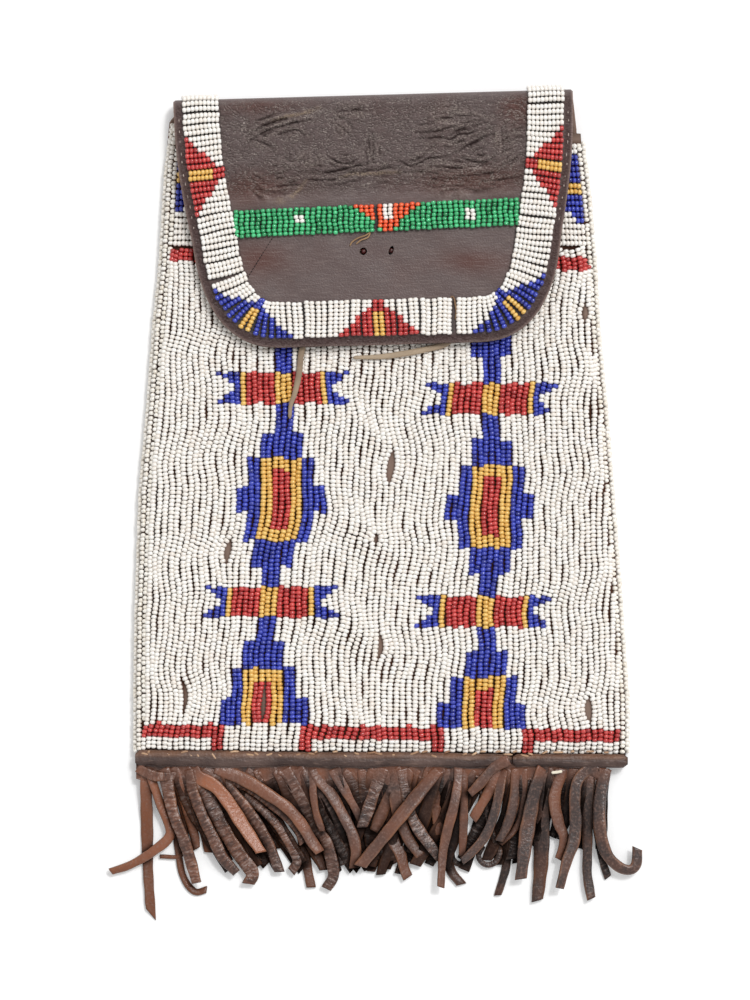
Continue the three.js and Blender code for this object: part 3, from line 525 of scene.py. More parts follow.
# Broken light fields of the flap by attribute: colour, where its flecks start, share. The first is the lip
# beside each crease, lighter from wear and from painted highlight; tan is the leather's own colour
FLAP_LIGHT = (("rubbed", (172, 158, 148), 0.4, 0.85), ("tan", (164, 142, 114), 0.34, 0.65))
# Fields of the flap by attribute, colour and share: sunk is painted shade in the creases' hollows, lip
# darkens and reddens the margin, edge is painted highlight along the cut rim, flesh is the underside's own
# colour, beaded is painted shade with thread under the beadwork
FLAP_TINTS_AND_SHADING = (
    ("sunk", (22, 15, 15), 0.8), ("lip", (62, 34, 31), 0.62), ("edge", (156, 132, 122), 0.6),
    ("flesh", (116, 88, 70), 0.7), ("beaded", (24, 15, 12), 0.85),
)


def flap_material():
    """Creased grey-brown leather, redder in places, with painted shade in its cracks, wrinkle hollows and
    creases and under its beads, painted highlight beside the cracks, on the wrinkles' ridges and along its
    rim, and pale flecks where it is worn and takes painted highlight.
    """
    shader = Shader("flap_leather", 0.42, FLAP_SPECULAR)
    place = shader.place(True)
    clouds = shader.noise(place, 55, 5.0)
    grain = shader.noise(place, 1500, 4.0)
    flecks = shader.noise(place, 1700, 2.0, (0.8, 1.15, 1.0))
    streaks = shader.noise(place, 1100, 3.0, (0.16, 1.7, 1.0))
    worked = shader.attribute("worked")
    bent = shader.moved(place, Scale=(0.72, 1.25, 1.0))
    wrinkles = shader.noise(bent, 460.0, 4.0, Roughness=0.55, Distortion=2.4)
    cracks = shader.times(shader.cracks(bent, CRACK_SCALE, CRACK_WANDER), worked)
    # The cracks' net moved a little, for painted highlight beside each crack
    beside = shader.moved(bent, Location=CRACK_LIP)
    lit = shader.times(shader.cracks(beside, CRACK_SCALE, CRACK_WANDER), worked)
    redder = shader.times(shader.math("SUBTRACT", clouds, 0.5), 1.2)
    warm = shader.math("ADD", shader.attribute("warm"), redder, True)
    colour = shader.mix(warm, (93, 78, 76), (88, 57, 51))
    # Painted shade in the wrinkles' hollows and in the cracks
    colour = shader.tint(colour, (36, 27, 26), shader.ramp(wrinkles, 0.47, 0.36), worked, 0.2)
    colour = shader.tint(colour, (34, 25, 24), cracks, 0.36)
    plain = shader.math("SUBTRACT", 0.34, shader.times(worked, 0.26))
    colour = shader.tint(colour, (140, 124, 118), shader.ramp(streaks, 0.5, 0.72), plain)
    # Painted highlight on the wrinkles' ridges, broken into flecks
    ridges = shader.times(shader.ramp(wrinkles, 0.48, 0.6), worked, 0.24)
    colour = shader.tint(colour, (184, 172, 164), shader.ramp(flecks, 0.5, 0.66), ridges)
    # Painted highlight beside the cracks
    colour = shader.tint(colour, (186, 172, 164), lit, shader.ramp(flecks, 0.4, 0.6), 0.6)
    for name, other, start, share in FLAP_LIGHT:
        broken = shader.ramp(flecks, start, start + 0.2)
        colour = shader.tint(colour, other, shader.attribute(name), broken, share)
    for name, other, share in FLAP_TINTS_AND_SHADING:
        colour = shader.tint(colour, other, shader.attribute(name), share)
    shader.set("Base Color", colour)
    # Less specular in the creases' hollows, which sunk darkens as painted shade
    out_of_creases = shader.math("SUBTRACT", 1.0, shader.attribute("sunk"))
    shader.set("Specular IOR Level", shader.times(out_of_creases, FLAP_SPECULAR))
    relief = shader.times(wrinkles, shader.math("ADD", shader.times(worked, 3.2), 0.3))
    relief = shader.math("SUBTRACT", relief, shader.times(cracks, 0.9))
    shader.bump(shader.math("ADD", relief, shader.times(grain, 0.6)), 0.8)
    return shader.material


# Front of the pouch: outer sides of the case, edging and all, by pixels of the photograph
LEFT_SIDE = (
    (132, 770), (132, 683), (133, 610), (135, 559), (137, 496), (144, 416), (152, 314), (157, 269),
    (161, 200), (163, 169), (170, 122),
)
RIGHT_SIDE = (
    (631, 770), (631, 707), (624, 600), (617, 507), (609, 406), (602, 333), (598, 260), (593, 200),
    (588, 156), (586, 133), (585, 122),
)
# Spots where strings part and the hide shows: middle, width and height in pixels
BARE_SPOTS = (
    (392, 468, 7, 34), (228, 551, 6, 24), (374, 539, 4, 12), (588, 709, 7, 25),
    (382, 645, 5, 25), (588, 313, 5, 18), (188, 695, 4, 42), (264, 704, 4, 30),
)
SPOT_REACH = 0.7
MOUTH_BARE = 0.8
HIDE_COLUMNS = 121
HIDE_FOOT_ROWS = 14
HIDE_ROWS = 90


def half_width(y):
    return (line_x(RIGHT_SIDE, y) - line_x(LEFT_SIDE, y)) / 2 - EDGING_REACH


def centre_x(y):
    return (line_x(RIGHT_SIDE, y) + line_x(LEFT_SIDE, y)) / 2


def rise(distance):
    """Share of its full height that the rounded front has at a distance from its edge."""
    left = 1 - np.clip(distance / EDGE_ROUND, 0, 1)
    return np.sqrt(1 - left * left)


def front_top(x, y):
    inset = half_width(y) - np.abs(x - centre_x(y))
    return SEAM_TOP + (FRONT_TOP - SEAM_TOP) * rise(inset) * rise(y - FOOT_Y)


def mouth_rise(x, y):
    """How far the mouth's left corner is drawn up beside the flap."""
    inset = x - centre_x(y) + half_width(y)
    near_mouth = smoothstep((y - MOUTH_Y + HORN_LENGTH) / HORN_LENGTH)
    return MOUTH_HORN * smoothstep((HORN_WIDTH - inset) / HORN_BLEND) * near_mouth


def bare_spots(x, y):
    """How much of the hide shows between the strings in its own lighter colour, instead of the painted shade
    elsewhere.
    """
    shown = np.zeros(x.shape)
    for px, py, width, height in BARE_SPOTS:
        gx, gy = from_photo(px, py)
        away = np.hypot((x - gx) / (width * PIXEL), (y - gy) / (height * PIXEL * SPOT_REACH))
        shown = np.maximum(shown, smoothstep(1.6 - 1.2 * away))
    return np.maximum(shown, MOUTH_BARE * smoothstep((y - MOUTH_Y + MOUTH_MARGIN) / 1.5))


def make_front_hide(material):
    shares = np.sin(np.linspace(-0.5, 0.5, HIDE_COLUMNS) * math.pi)
    rounded = np.linspace(FOOT_Y, FOOT_Y + EDGE_ROUND, HIDE_FOOT_ROWS)
    plain = np.linspace(FOOT_Y + EDGE_ROUND, MOUTH_Y, HIDE_ROWS)
    y = grid_of(np.concatenate([[HEM_Y], rounded, plain[1:]]), HIDE_COLUMNS)
    x = centre_x(y) + shares * half_width(y)
    y = y + mouth_rise(x, y)
    x = centre_x(y) + shares * half_width(y)
    top = np.stack([x, y, front_top(x, y)], axis=-1)
    bare = bare_spots(x, y)
    attributes = {"bare": both_faces(bare, bare)}
    low = top - FRONT_HIDE * WORLD_UP
    piece = plate("front_hide", top, low, material, "case", "front_hide", attributes)
    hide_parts("front_panel")


# Beads: each has a place, a way along its string, an upward way and sizes

class Beads:
    """Beads gathered string by string, sorted into pieces by a group and a colour."""

    def __init__(self):
        self.groups = {}

    def string(self, group, places, along, up, colours, sizes):
        for colour in set(colours):
            chosen = np.array([c == colour for c in colours])
            rows = np.hstack([places, along, up, sizes])[chosen]
            self.groups.setdefault((group, colour), []).append(rows)

    def make(self, materials, body, replaced, blend=None):
        for (group, colour), runs in sorted(self.groups.items()):
            slot = BEAD_SLOTS.get(colour, f"bead_{colour}")
            rider = None if blend else body
            piece = bead_piece(f"{group}_{colour}", np.vstack(runs), materials[colour], rider, slot)
            if blend:
                blend(piece)
            nodes = replaced.get((group, colour), ())
            if nodes:
                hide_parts(*nodes)


def bead_sizes(width, length=BEAD_LENGTH):
    """Length, width and height of the beads of a string, from their widths."""
    return np.column_stack([np.full(len(width), length), width, np.full(len(width), BEAD_HEIGHT)])


def bead_piece(name, data, material, body, slot):
    """All beads of one piece, each a copy of one bead that lies along +x."""
    template = np.array([(x, r * y, r * z) for x, r in BEAD_RINGS for y, z in BEAD_SECTION])
    quads, caps = ring_faces(len(BEAD_RINGS), BEAD_SIDES, flip=True)
    seam = np.abs(template[:, 0]) > SEAM_FROM
    count, size = len(data), len(template)
    places, along, up = data[:, 0:3], unit(data[:, 3:6]), data[:, 6:9]
    side = unit(np.cross(up, along))
    up = np.cross(along, side)
    length, width, height = (data[:, 9 + i, None, None] for i in range(3))
    x, y, z = (template[None, :, i, None] for i in range(3))
    points = places[:, None] + x * length * along[:, None]
    points = points + y * width / 2 * side[:, None] + z * height / 2 * up[:, None]
    offsets = np.arange(count)[:, None, None] * size
    faces = [(quads + offsets).reshape(-1, 4), (caps + offsets).reshape(-1, BEAD_SIDES)]
    tone = np.repeat(np.clip(rng.normal(*BEAD_TONE, count), 0, 1), size)
    attributes = {"tone": tone, "seam": np.tile(seam, count)}
    return make_mesh(name, points.reshape(-1, 3), faces, material, body, slot, attributes)


# Pattern of the front, counted in strings from a column's axis and in rows of beads
LEFT_STRINGS = 21
MIDDLE_STRINGS = 36
RIGHT_STRINGS = 24
# Strings at which the white ground is split into three pieces
THIRDS = (4, 32)
LEFT_AXIS = ((258, 755), (260, 700), (267, 602), (281.5, 500), (284, 390), (285, 248))
RIGHT_AXIS = ((484, 755), (485, 703), (486.5, 612), (491.5, 508), (491, 399), (491, 248))
# Levels of each column's blocks, by pixels of the photograph
COLUMN_LEVELS = {
    "left": {"upper_bar": 388, "lozenge": 499.5, "lower_bar": 602, "half_top": 668, "half_foot": 724},
    "right": {"upper_bar": 399, "lozenge": 507, "lower_bar": 612, "half_top": 677, "half_foot": 728},
}
BAR_STRINGS = 11
BAR_HALF_ROWS = 3.8
LOZENGE_ROWS = 10.2
LOZENGE_CORE_ROWS = 7.2
LOZENGE_WIDE_ROWS = 3.2
LOZENGE_BLOCK_ROWS = 16.6
HALF_CORE_ROWS = 3
HALF_WIDE_ROWS = 6.2
HALF_BLOCK_ROWS = 6.4
TOP_BLOCK_ROWS = (10.4, 17.5)
STEM_ROWS = 10.6
TOP_LINE = {"left": (249, 262), "right": (258, 271)}
TOP_LINE_STRINGS = 13
FOOT_LINE_ROWS = (2.9, 6.4)
FOOT_TILT = -0.0105
FOOT_BOX_STRINGS = 6
FOOT_BAR_STRINGS = 8
# Sides of the field, and how its strings sway
FIELD_INSET = {"left": 2.9, "right": 1.9}
FOOT_SPREAD = 1.7
EDGING_START = 11.0
WAVE_LENGTH = 35.0
WAVE_START = photo_y(390)
WAVE_TURN = -18.0
WAVE_TURN_WIDTH = 26.0
SLOW_WAVE = 1.1
QUICK_WAVE = 0.34
QUICK_TURNS = 1.87
COLUMN_CALM = 8.0
CALM_FOOT = 12.0
LANE = 18.7
# A string's own sway, by height and length: between the lanes, and all along
OWN_SWAY = ((0.25, 5.1), (0.09, 1.7), (0.06, 0.9))
PARTING = 0.6
PARTING_REACH = 5.0
# Ends and unevenness of the strings: beads further out than OUTSIDE are left off
FOOT_GAP = 0.2
FIELD_TOP_GAP = 0.4
FOOT_UNEVEN = 0.35
ROW_UNEVEN = 0.012
BEAD_UNEVEN = 0.04
BEAD_LEAN = 0.06
SIZE_UNEVEN = 0.03
BEAD_FILL = 1.01
WIDEST_BEAD = 1.1 * BEAD_WIDTH
OUTSIDE = -0.2
AHEAD = 0.2


def left_inset(y):
    """Room that the edging takes from the field's left side, less near the foot."""
    near_foot = smoothstep((FOOT_Y + EDGING_START - y) / CALM_FOOT + 0.2)
    return FIELD_INSET["left"] - FOOT_SPREAD * near_foot


def string_x(string, y):
    """Where a string lies before it waves: the left axis is string 0, the right axis MIDDLE_STRINGS."""
    left, right = line_x(LEFT_AXIS, y), line_x(RIGHT_AXIS, y)
    edge = centre_x(y) - half_width(y) + left_inset(y)
    if string < 0:
        return left + string * (left - edge) / (LEFT_STRINGS + 0.5)
    if string <= MIDDLE_STRINGS:
        return left + (right - left) * string / MIDDLE_STRINGS
    return right + (string - MIDDLE_STRINGS) * STRING_PITCH


def field_inside(x, y):
    """How far a place lies within the field's sides."""
    away = x - centre_x(y)
    return half_width(y) - np.where(away < 0, left_inset(y), FIELD_INSET["right"]) - np.abs(away)


def string_pitch(string, y):
    """Room that a string has across it."""
    side = 1 if string < MIDDLE_STRINGS else -1
    return np.abs(string_x(string + side, y) - string_x(string, y))


def wave(x, y):
    """Sideways sway that neighbouring strings share, half a wave apart between the field's sides."""
    start = WAVE_START - WAVE_LENGTH / 2 * smoothstep((x - WAVE_TURN) / WAVE_TURN_WIDTH)
    turn = FULL_TURN * (start - y) / WAVE_LENGTH
    slow = SLOW_WAVE * np.sin(turn + 0.25 * np.sin(x / 13)) * (0.8 + 0.2 * np.sin(x / 11 + y / 37))
    quick = QUICK_WAVE * np.sin(QUICK_TURNS * turn + x / 19)
    away = np.minimum(np.abs(x - line_x(LEFT_AXIS, y)), np.abs(x - line_x(RIGHT_AXIS, y)))
    return (slow + quick) * (0.5 + 0.5 * smoothstep((away - COLUMN_CALM) / (2 * COLUMN_CALM)))


def string_line(string, phase):
    """Function of the level that gives a string's place across: swaying, parted round bare spots."""
    def sway(at):
        base = string_x(string, at)
        swings = [size * np.sin(at / length + turn) for (size, length), turn in zip(OWN_SWAY, phase)]
        swings[0] = swings[0] * np.abs(np.sin(math.pi * (at - FOOT_Y) / LANE))
        inside = field_inside(base, at)
        calm = smoothstep((inside + 1) / 7) * smoothstep((at - FOOT_Y) / CALM_FOOT + 0.2)
        return base + calm * wave(base, at) + sum(swings) * smoothstep(inside)

    def line(at):
        x = sway(at)
        for px, py, width, height in BARE_SPOTS:
            gx, gy = from_photo(px, py)
            away = sway(np.array([gy]))[0] - gx
            opening = np.clip(1 - ((at - gy) / (height * PIXEL / 2)) ** 2, 0, 1)
            push = math.copysign(math.exp(-abs(away) / PARTING_REACH), away) * PARTING
            x = x + push * opening * width * PIXEL
        return x

    return line


def bar_colour(c, row):
    """Colour of a bar c strings from its axis: yellow, red, yellow, then a blue fork at its end."""
    if c <= 1 or c == 7:
        return "yellow"
    if c <= 6:
        return "red"
    return "white" if abs(row) < c - 8 else "blue"


def lozenge_colour(c, core, wide):
    """Colour of a lozenge c strings from its axis, in its core or its wide rows or neither, or None."""
    if c <= 1 and core:
        return "red"
    if c <= 3:
        return "yellow"
    return "blue" if c <= 5 or (c <= 7 and wide) else None


def column_colour(side, c, y):
    """Colour of a bead of a column of the pattern, or None where the ground is white."""
    row = {name: (y - photo_y(py)) / BEAD_ROW for name, py in COLUMN_LEVELS[side].items()}
    c = abs(c)
    for bar in ("upper_bar", "lower_bar"):
        if abs(row[bar]) < BAR_HALF_ROWS and c <= BAR_STRINGS:
            return bar_colour(c, row[bar])
    off, above, below = abs(row["lozenge"]), row["half_top"], row["half_foot"]
    colour = None
    if off <= LOZENGE_ROWS:
        colour = lozenge_colour(c, off <= LOZENGE_CORE_ROWS, off <= LOZENGE_WIDE_ROWS)
    elif below > 0 > above:
        colour = lozenge_colour(c, above < -HALF_CORE_ROWS, below < HALF_WIDE_ROWS)
    if colour:
        return colour
    over_bar = TOP_BLOCK_ROWS[0] < row["upper_bar"] < TOP_BLOCK_ROWS[1]
    blocks = off < LOZENGE_BLOCK_ROWS or 0 < above < HALF_BLOCK_ROWS or over_bar
    if c <= 3 and blocks and below > 0:
        return "blue"
    if c <= 1 and above > 0 and row["upper_bar"] < STEM_ROWS:
        return "blue"
    return None


def half_of(string):
    return "left" if string < MIDDLE_STRINGS / 2 else "right"


def front_colour(string, x, y, foot):
    side = half_of(string)
    c = string if side == "left" else string - MIDDLE_STRINGS
    row = (y - foot) / BEAD_ROW
    if FOOT_BOX_STRINGS < abs(c) <= FOOT_BAR_STRINGS and row < FOOT_LINE_ROWS[1]:
        return "red"
    if abs(c) > FOOT_BAR_STRINGS and FOOT_LINE_ROWS[0] <= row < FOOT_LINE_ROWS[1]:
        return "red"
    top, low = (photo_y(py) for py in TOP_LINE[side])
    if low < y < top and abs(x - centre_x(y)) > half_width(y) - TOP_LINE_STRINGS * STRING_PITCH:
        return "red"
    return column_colour(side, c, y) or "white"


def on_front(x, y):
    """Middles of beads that lie on the front."""
    return np.stack([x, y, front_top(x, y) + BEAD_HEIGHT / 2], axis=1)


def add_front_beads(beads):
    for string in range(-LEFT_STRINGS, MIDDLE_STRINGS + RIGHT_STRINGS + 1):
        foot = FOOT_Y + FOOT_GAP + FOOT_TILT * string_x(string, FOOT_Y)
        foot = foot + rng.uniform(-FOOT_UNEVEN, FOOT_UNEVEN)
        row = BEAD_ROW * rng.normal(1, ROW_UNEVEN)
        y = np.arange(foot + row / 2, FIELD_TOP_Y - FIELD_TOP_GAP, row)
        y = y + rng.normal(0, BEAD_UNEVEN, len(y))
        line = string_line(string, rng.uniform(0, FULL_TURN, len(OWN_SWAY)))
        x = line(y)
        inside = np.flatnonzero(field_inside(x, y) > OUTSIDE)
        if not inside.size:
            continue
        places = on_front(x, y)
        along = on_front(line(y + AHEAD), y + AHEAD) - places
        up = WORLD_UP + rng.normal(0, BEAD_LEAN, places.shape)
        colours = [front_colour(string, *place, foot) for place in zip(x, y)]
        room = np.minimum(string_pitch(string, y) * BEAD_FILL, WIDEST_BEAD)
        sizes = bead_sizes(room) * rng.normal(1, SIZE_UNEVEN, places.shape)
        third = "left" if string < THIRDS[0] else "middle" if string < THIRDS[1] else "right"
        for group, wanted in ((f"beads_{third}", True), (f"beads_{half_of(string)}", False)):
            part = [i for i in inside if (colours[i] == "white") == wanted]
            if part:
                named = [colours[i] for i in part]
                beads.string(group, places[part], along[part], up[part], named, sizes[part])


def front_replacements():
    """CAD fields that each piece of front beads stands for."""
    found = {("beads_middle", "white"): ["beads_ground"]}
    for entry in frame["record"]["subparts"]:
        node, colour = entry["node"], entry["material_slot"].removeprefix("bead_")
        if node.startswith("beads_") and colour != "white":
            halves = [word for word in node.split("_") if word in dict(SIDES)]
            half = halves[0] if halves else "left"
            found.setdefault((f"beads_{half}", colour), []).append(node)
    return found


# Edging rolled over the side seams, and the lanes beside the mouth
EDGING_ROW = 1.68
EDGING_SIZE = (1.72, 1.62, 1.7)
EDGING_SIZE_UNEVEN = 0.05
EDGING_ROW_UNEVEN = 0.1
EDGING_UNEVEN = 0.09
EDGING_TOP = {"left": MOUTH_Y + 3.5, "right": MOUTH_Y - 3.0}
EDGING_INNER = 2.0
LANE_TOP = {"left": MOUTH_Y - 4.5, "right": MOUTH_Y - 3.0}
LANE_START = 1.2
LANE_UNEVEN = 0.08
LANE_BEADS = 9
LANE_MIDDLE = {"left": photo_y(178), "right": photo_y(192)}
LANE_INSET = {"left": 3.6, "right": 2.1}
LANE_YELLOW = 7
LANE_STEPS = (7, 6, 5, 3, 2)
# Columns of edging beads: reach out from the edge, share of the way down to the seam, lift above it,
# way of the thread across and down, and stagger
EDGING_ROLLS = {
    "left": (
        (-2.6, 0.0, 0.95, (1.0, 0.35), 0.0), (-0.8, 0.5, 1.2, (1.0, 0.8), 0.5),
        (0.6, 1.0, 0.2, (0.4, 1.0), 0.0), (0.85, 1.0, -1.5, (0.0, 1.0), 0.5),
    ),
    "right": (
        (-1.15, 0.4, 1.0, (1.0, 0.6), 0.0), (0.5, 1.0, 0.5, (0.5, 1.0), 0.5),
        (0.85, 1.0, -1.3, (0.0, 1.0), 0.0),
    ),
}


def add_edging(beads):
    for name, side in SIDES:
        y = np.arange(FOOT_Y + FOOT_GAP, EDGING_TOP[name], EDGING_ROW)
        y = y + rng.normal(0, EDGING_ROW_UNEVEN, len(y))
        edge = centre_x(y) + side * half_width(y)
        inner = front_top(edge - side * EDGING_INNER, y)
        for reach, share, raised, (level, drop), stagger in EDGING_ROLLS[name]:
            z = inner + (SEAM_TOP - inner) * share + raised
            places = np.stack([edge + side * reach, y + stagger * EDGING_ROW, z], axis=1)
            places = places + rng.normal(0, EDGING_UNEVEN, places.shape)
            along = np.tile([side * level, 0, -drop], (len(y), 1))
            up = np.tile([side * drop, 0, level], (len(y), 1))
            sizes = np.array(EDGING_SIZE) * rng.normal(1, EDGING_SIZE_UNEVEN, places.shape)
            kept = y > (FOOT_Y + EDGING_START if reach < -FIELD_INSET["right"] else FOOT_Y)
            rows = (part[kept] for part in (places, along, up))
            beads.string(f"edging_{name}", *rows, ["cream"] * kept.sum(), sizes[kept])


def add_mouth_lanes(beads):
    sizes = bead_sizes(np.full(LANE_BEADS, BEAD_WIDTH))
    up = np.tile(WORLD_UP, (LANE_BEADS, 1))
    for name, side in SIDES:
        levels = np.arange(FIELD_TOP_Y + LANE_START, LANE_TOP[name], STRING_PITCH)
        middle = int(np.argmin(np.abs(levels - LANE_MIDDLE[name])))
        inset = LANE_INSET[name] + (np.arange(LANE_BEADS) + 0.5) * BEAD_ROW
        for number, level in enumerate(levels):
            y = level + rng.normal(0, LANE_UNEVEN, LANE_BEADS)
            places = on_front(centre_x(y) + side * (half_width(y) - inset), y)
            near = max(middle - number, number - middle - 1)
            colour, reach = ("blue", 0) if near else ("yellow", LANE_YELLOW)
            if 0 < near <= len(LANE_STEPS):
                reach = LANE_STEPS[near - 1]
            colours = [colour] * reach + ["white"] * (LANE_BEADS - reach)
            along = np.gradient(places, axis=0)
            beads.string(f"mouth_lane_{name}", places, along, up, colours, sizes)


# Shape of the flap
CORNER_DRAW = 2.0
CORNER_PULLS = (0.53, 0.67)
RUN_STEPS = 3000
EDGE_STEPS = 120
FOOT_STEPS = 60
CORNER_STEPS = 200
# Distances are worked out part by part to hold little memory
DISTANCE_PARTS = 40


def flap_place(u, v, z):
    """Place in the shared frame of a place in the fold's own frame."""
    x = FOLD_PLACE[0] + u * FOLD_ALONG[0] - v * FOLD_ALONG[1]
    y = FOLD_PLACE[1] + u * FOLD_ALONG[1] + v * FOLD_ALONG[0]
    return np.stack(np.broadcast_arrays(x, y, z), axis=-1)


def photo_to_flap(px, py):
    """Place in the fold's own frame of a pixel of the photograph."""
    dx, dy = np.array(from_photo(px, py)) - FOLD_PLACE[:2]
    return dx * FOLD_ALONG[0] + dy * FOLD_ALONG[1], dy * FOLD_ALONG[0] - dx * FOLD_ALONG[1]


def flap_spline(pixels, count):
    return spline([photo_to_flap(*p) for p in pixels], count)


def fold_run(run):
    """v, z and outward way of the leather's outer face at a run from the fold's middle to the flap."""
    angle = np.clip(run / FOLD_RADIUS, -math.pi / 2, math.pi / 2)
    slope = np.clip((run - QUARTER) / SLOPE_RUN, 0, 1)
    level = np.maximum(run - QUARTER - SLOPE_RUN, 0) + np.maximum(-run - QUARTER, 0)
    down = slope * (FLAP_SLOPE_LENGTH - FOLD_RADIUS) + level
    v = -FOLD_RADIUS + FOLD_RADIUS * np.cos(angle) - down
    z = FOLD_RADIUS + FOLD_RADIUS * np.sin(angle) + slope * SLOPE_RISE
    return v, z, np.cos(angle), np.sin(angle)


def run_at(v):
    """Run from the fold's middle to a place on the flap."""
    runs = np.linspace(0, QUARTER + SLOPE_RUN + FLAP_LENGTH, RUN_STEPS)
    return np.interp(-v, -fold_run(runs)[0], runs)


def on_flap_face(u, v, lift):
    """Place over the flap's outer face."""
    _, z, out_v, out_z = fold_run(run_at(v))
    return flap_place(u, v + lift * out_v, z + lift * out_z)


def corner_curve(count):
    """Rounded corner of the flap, from its side to its foot."""
    down, along = CORNER_PULLS
    side_pull = -FLAP_SIDE_LENGTH - down * (FLAP_LENGTH - FLAP_SIDE_LENGTH)
    foot_pull = FLAP_FOOT_HALF + along * (FLAP_SIDE_HALF - FLAP_FOOT_HALF)
    a, b, c, d = np.array([
        (FLAP_SIDE_HALF, -FLAP_SIDE_LENGTH), (FLAP_SIDE_HALF - CORNER_DRAW, side_pull),
        (foot_pull, -FLAP_LENGTH), (FLAP_FOOT_HALF, -FLAP_LENGTH),
    ])
    t = np.linspace(0, 1, count)[:, None]
    return (1 - t) ** 3 * a + 3 * t * (1 - t) ** 2 * b + 3 * t**2 * (1 - t) * c + t**3 * d


def flap_half(v):
    """Half width of the flap at a level."""
    curve = corner_curve(CORNER_STEPS)
    down = np.clip(-v / FLAP_SIDE_LENGTH, 0, 1)
    bulge = FLAP_SIDE_BULGE * np.sin(math.pi * down)
    side = FLAP_TOP_HALF + (FLAP_SIDE_HALF - FLAP_TOP_HALF) * down + bulge
    return np.where(v > -FLAP_SIDE_LENGTH, side, np.interp(-v, -curve[:, 1], curve[:, 0]))


def flap_edge():
    """Right half of the flap's edge in u and v, from the fold round the corner to the foot's middle."""
    side_v = np.linspace(0, -FLAP_SIDE_LENGTH, EDGE_STEPS)
    side = np.stack([flap_half(side_v), side_v], axis=1)
    foot_u = np.linspace(FLAP_FOOT_HALF, 0, FOOT_STEPS)
    foot = np.stack([foot_u, np.full(FOOT_STEPS, -FLAP_LENGTH)], axis=1)
    return np.vstack([side, corner_curve(EDGE_STEPS)[1:], foot[1:]])


def edge_distance(u, v):
    """Distance in from the flap's edge."""
    edge = flap_edge()[::2]
    place = np.stack([np.abs(u), v], axis=-1).reshape(-1, 1, 2)
    parts = np.array_split(place, DISTANCE_PARTS)
    near = [np.linalg.norm(part - edge[None], axis=-1).min(axis=1) for part in parts]
    return np.concatenate(near).reshape(u.shape)


# Creases of the flap, by pixels of the photograph: depth, how much wear and painted highlight lighten the
# lip beside it, and points
CREASES = (
    (1.0, 0.3, (241, 132), (252, 132), (264, 126), (276, 122), (287, 119)),
    (1.0, 0.6, (251, 140), (265, 132), (275, 128), (285, 126), (294, 123), (310, 120)),
    (0.7, 0.5, (280, 132), (291, 130), (300, 132), (306, 137)),
    (0.7, 0.5, (251, 140), (260, 142), (268, 146), (276, 149)),
    (0.6, 0.5, (285, 158), (289, 162), (297, 162)),
    (0.5, 0.6, (297, 164), (303, 159), (308, 155)),
    (0.5, 0.6, (307, 169), (308, 163), (309, 157)),
    (0.5, 0.5, (317, 156), (319, 162), (321, 168)),
    (0.7, 0.4, (273, 175), (282, 174), (291, 170)),
    (1.0, 0.3, (292, 178), (306, 174), (321, 174), (340, 171), (353, 167), (368, 165)),
    (1.0, 0.3, (309, 180), (321, 181), (332, 180), (348, 177), (364, 173), (385, 170), (403, 169)),
    (0.9, 0.4, (277, 188), (289, 186), (300, 186)),
    (0.8, 0.4, (247, 181), (254, 184), (261, 190), (272, 193), (285, 192)),
    (0.5, 0.4, (330, 123), (338, 125), (344, 130), (350, 137)),
    (0.9, 0.3, (358, 159), (351, 164), (340, 164), (332, 160), (327, 156)),
    (0.8, 0.3, (373, 134), (373, 150), (373, 164)),
    (0.5, 0.6, (366, 148), (367, 157), (368, 165)),
    (0.5, 0.6, (351, 108), (359, 111), (372, 111)),
    (0.6, 0.5, (336, 112), (348, 111), (357, 110), (364, 109)),
    (0.5, 0.7, (433, 112), (443, 114), (456, 116), (469, 116), (482, 118), (488, 121)),
    (0.8, 0.3, (428, 119), (441, 119), (452, 118)),
    (1.0, 0.4, (415, 133), (435, 132), (450, 128), (459, 126), (467, 123), (476, 121), (488, 123)),
    (1.0, 0.4, (429, 140), (437, 138), (450, 140), (459, 135), (471, 134), (482, 130), (494, 129)),
    (0.9, 0.3, (456, 153), (466, 147), (474, 142), (487, 136), (494, 135)),
    (1.0, 0.3, (462, 158), (469, 161), (477, 163), (487, 162), (494, 158)),
    (0.4, 0.7, (501, 128), (503, 146), (502, 158)),
    (1.0, 0.4, (396, 162), (404, 164), (411, 167), (421, 163), (430, 159), (439, 158), (450, 157)),
    (0.7, 0.4, (422, 151), (431, 149), (435, 146)),
    (0.8, 0.5, (411, 169), (428, 167), (443, 168), (460, 170), (476, 172), (492, 173)),
    (0.8, 0.5, (410, 172), (430, 173), (443, 176), (460, 177), (473, 176), (492, 174), (505, 169)),
    (0.8, 0.5, (471, 180), (488, 182), (503, 180), (522, 177)),
    (0.6, 0.5, (375, 177), (389, 174), (405, 174)),
    (0.5, 0.4, (423, 184), (434, 188), (450, 186), (470, 188)),
    (0.6, 0.4, (440, 192), (460, 190), (480, 191), (500, 188)),
    (0.6, 0.4, (505, 133), (515, 130), (524, 127)),
    (0.6, 0.4, (494, 148), (508, 142), (524, 136)),
    (0.6, 0.4, (496, 170), (510, 162), (524, 154)),
)
TAN_LINES = (
    ((273, 121), (287, 117), (306, 113), (320, 108)),
    ((307, 181), (302, 187), (298, 192), (293, 196), (285, 200), (273, 204)),
    ((340, 178), (352, 175), (366, 175), (380, 174), (400, 173)),
)
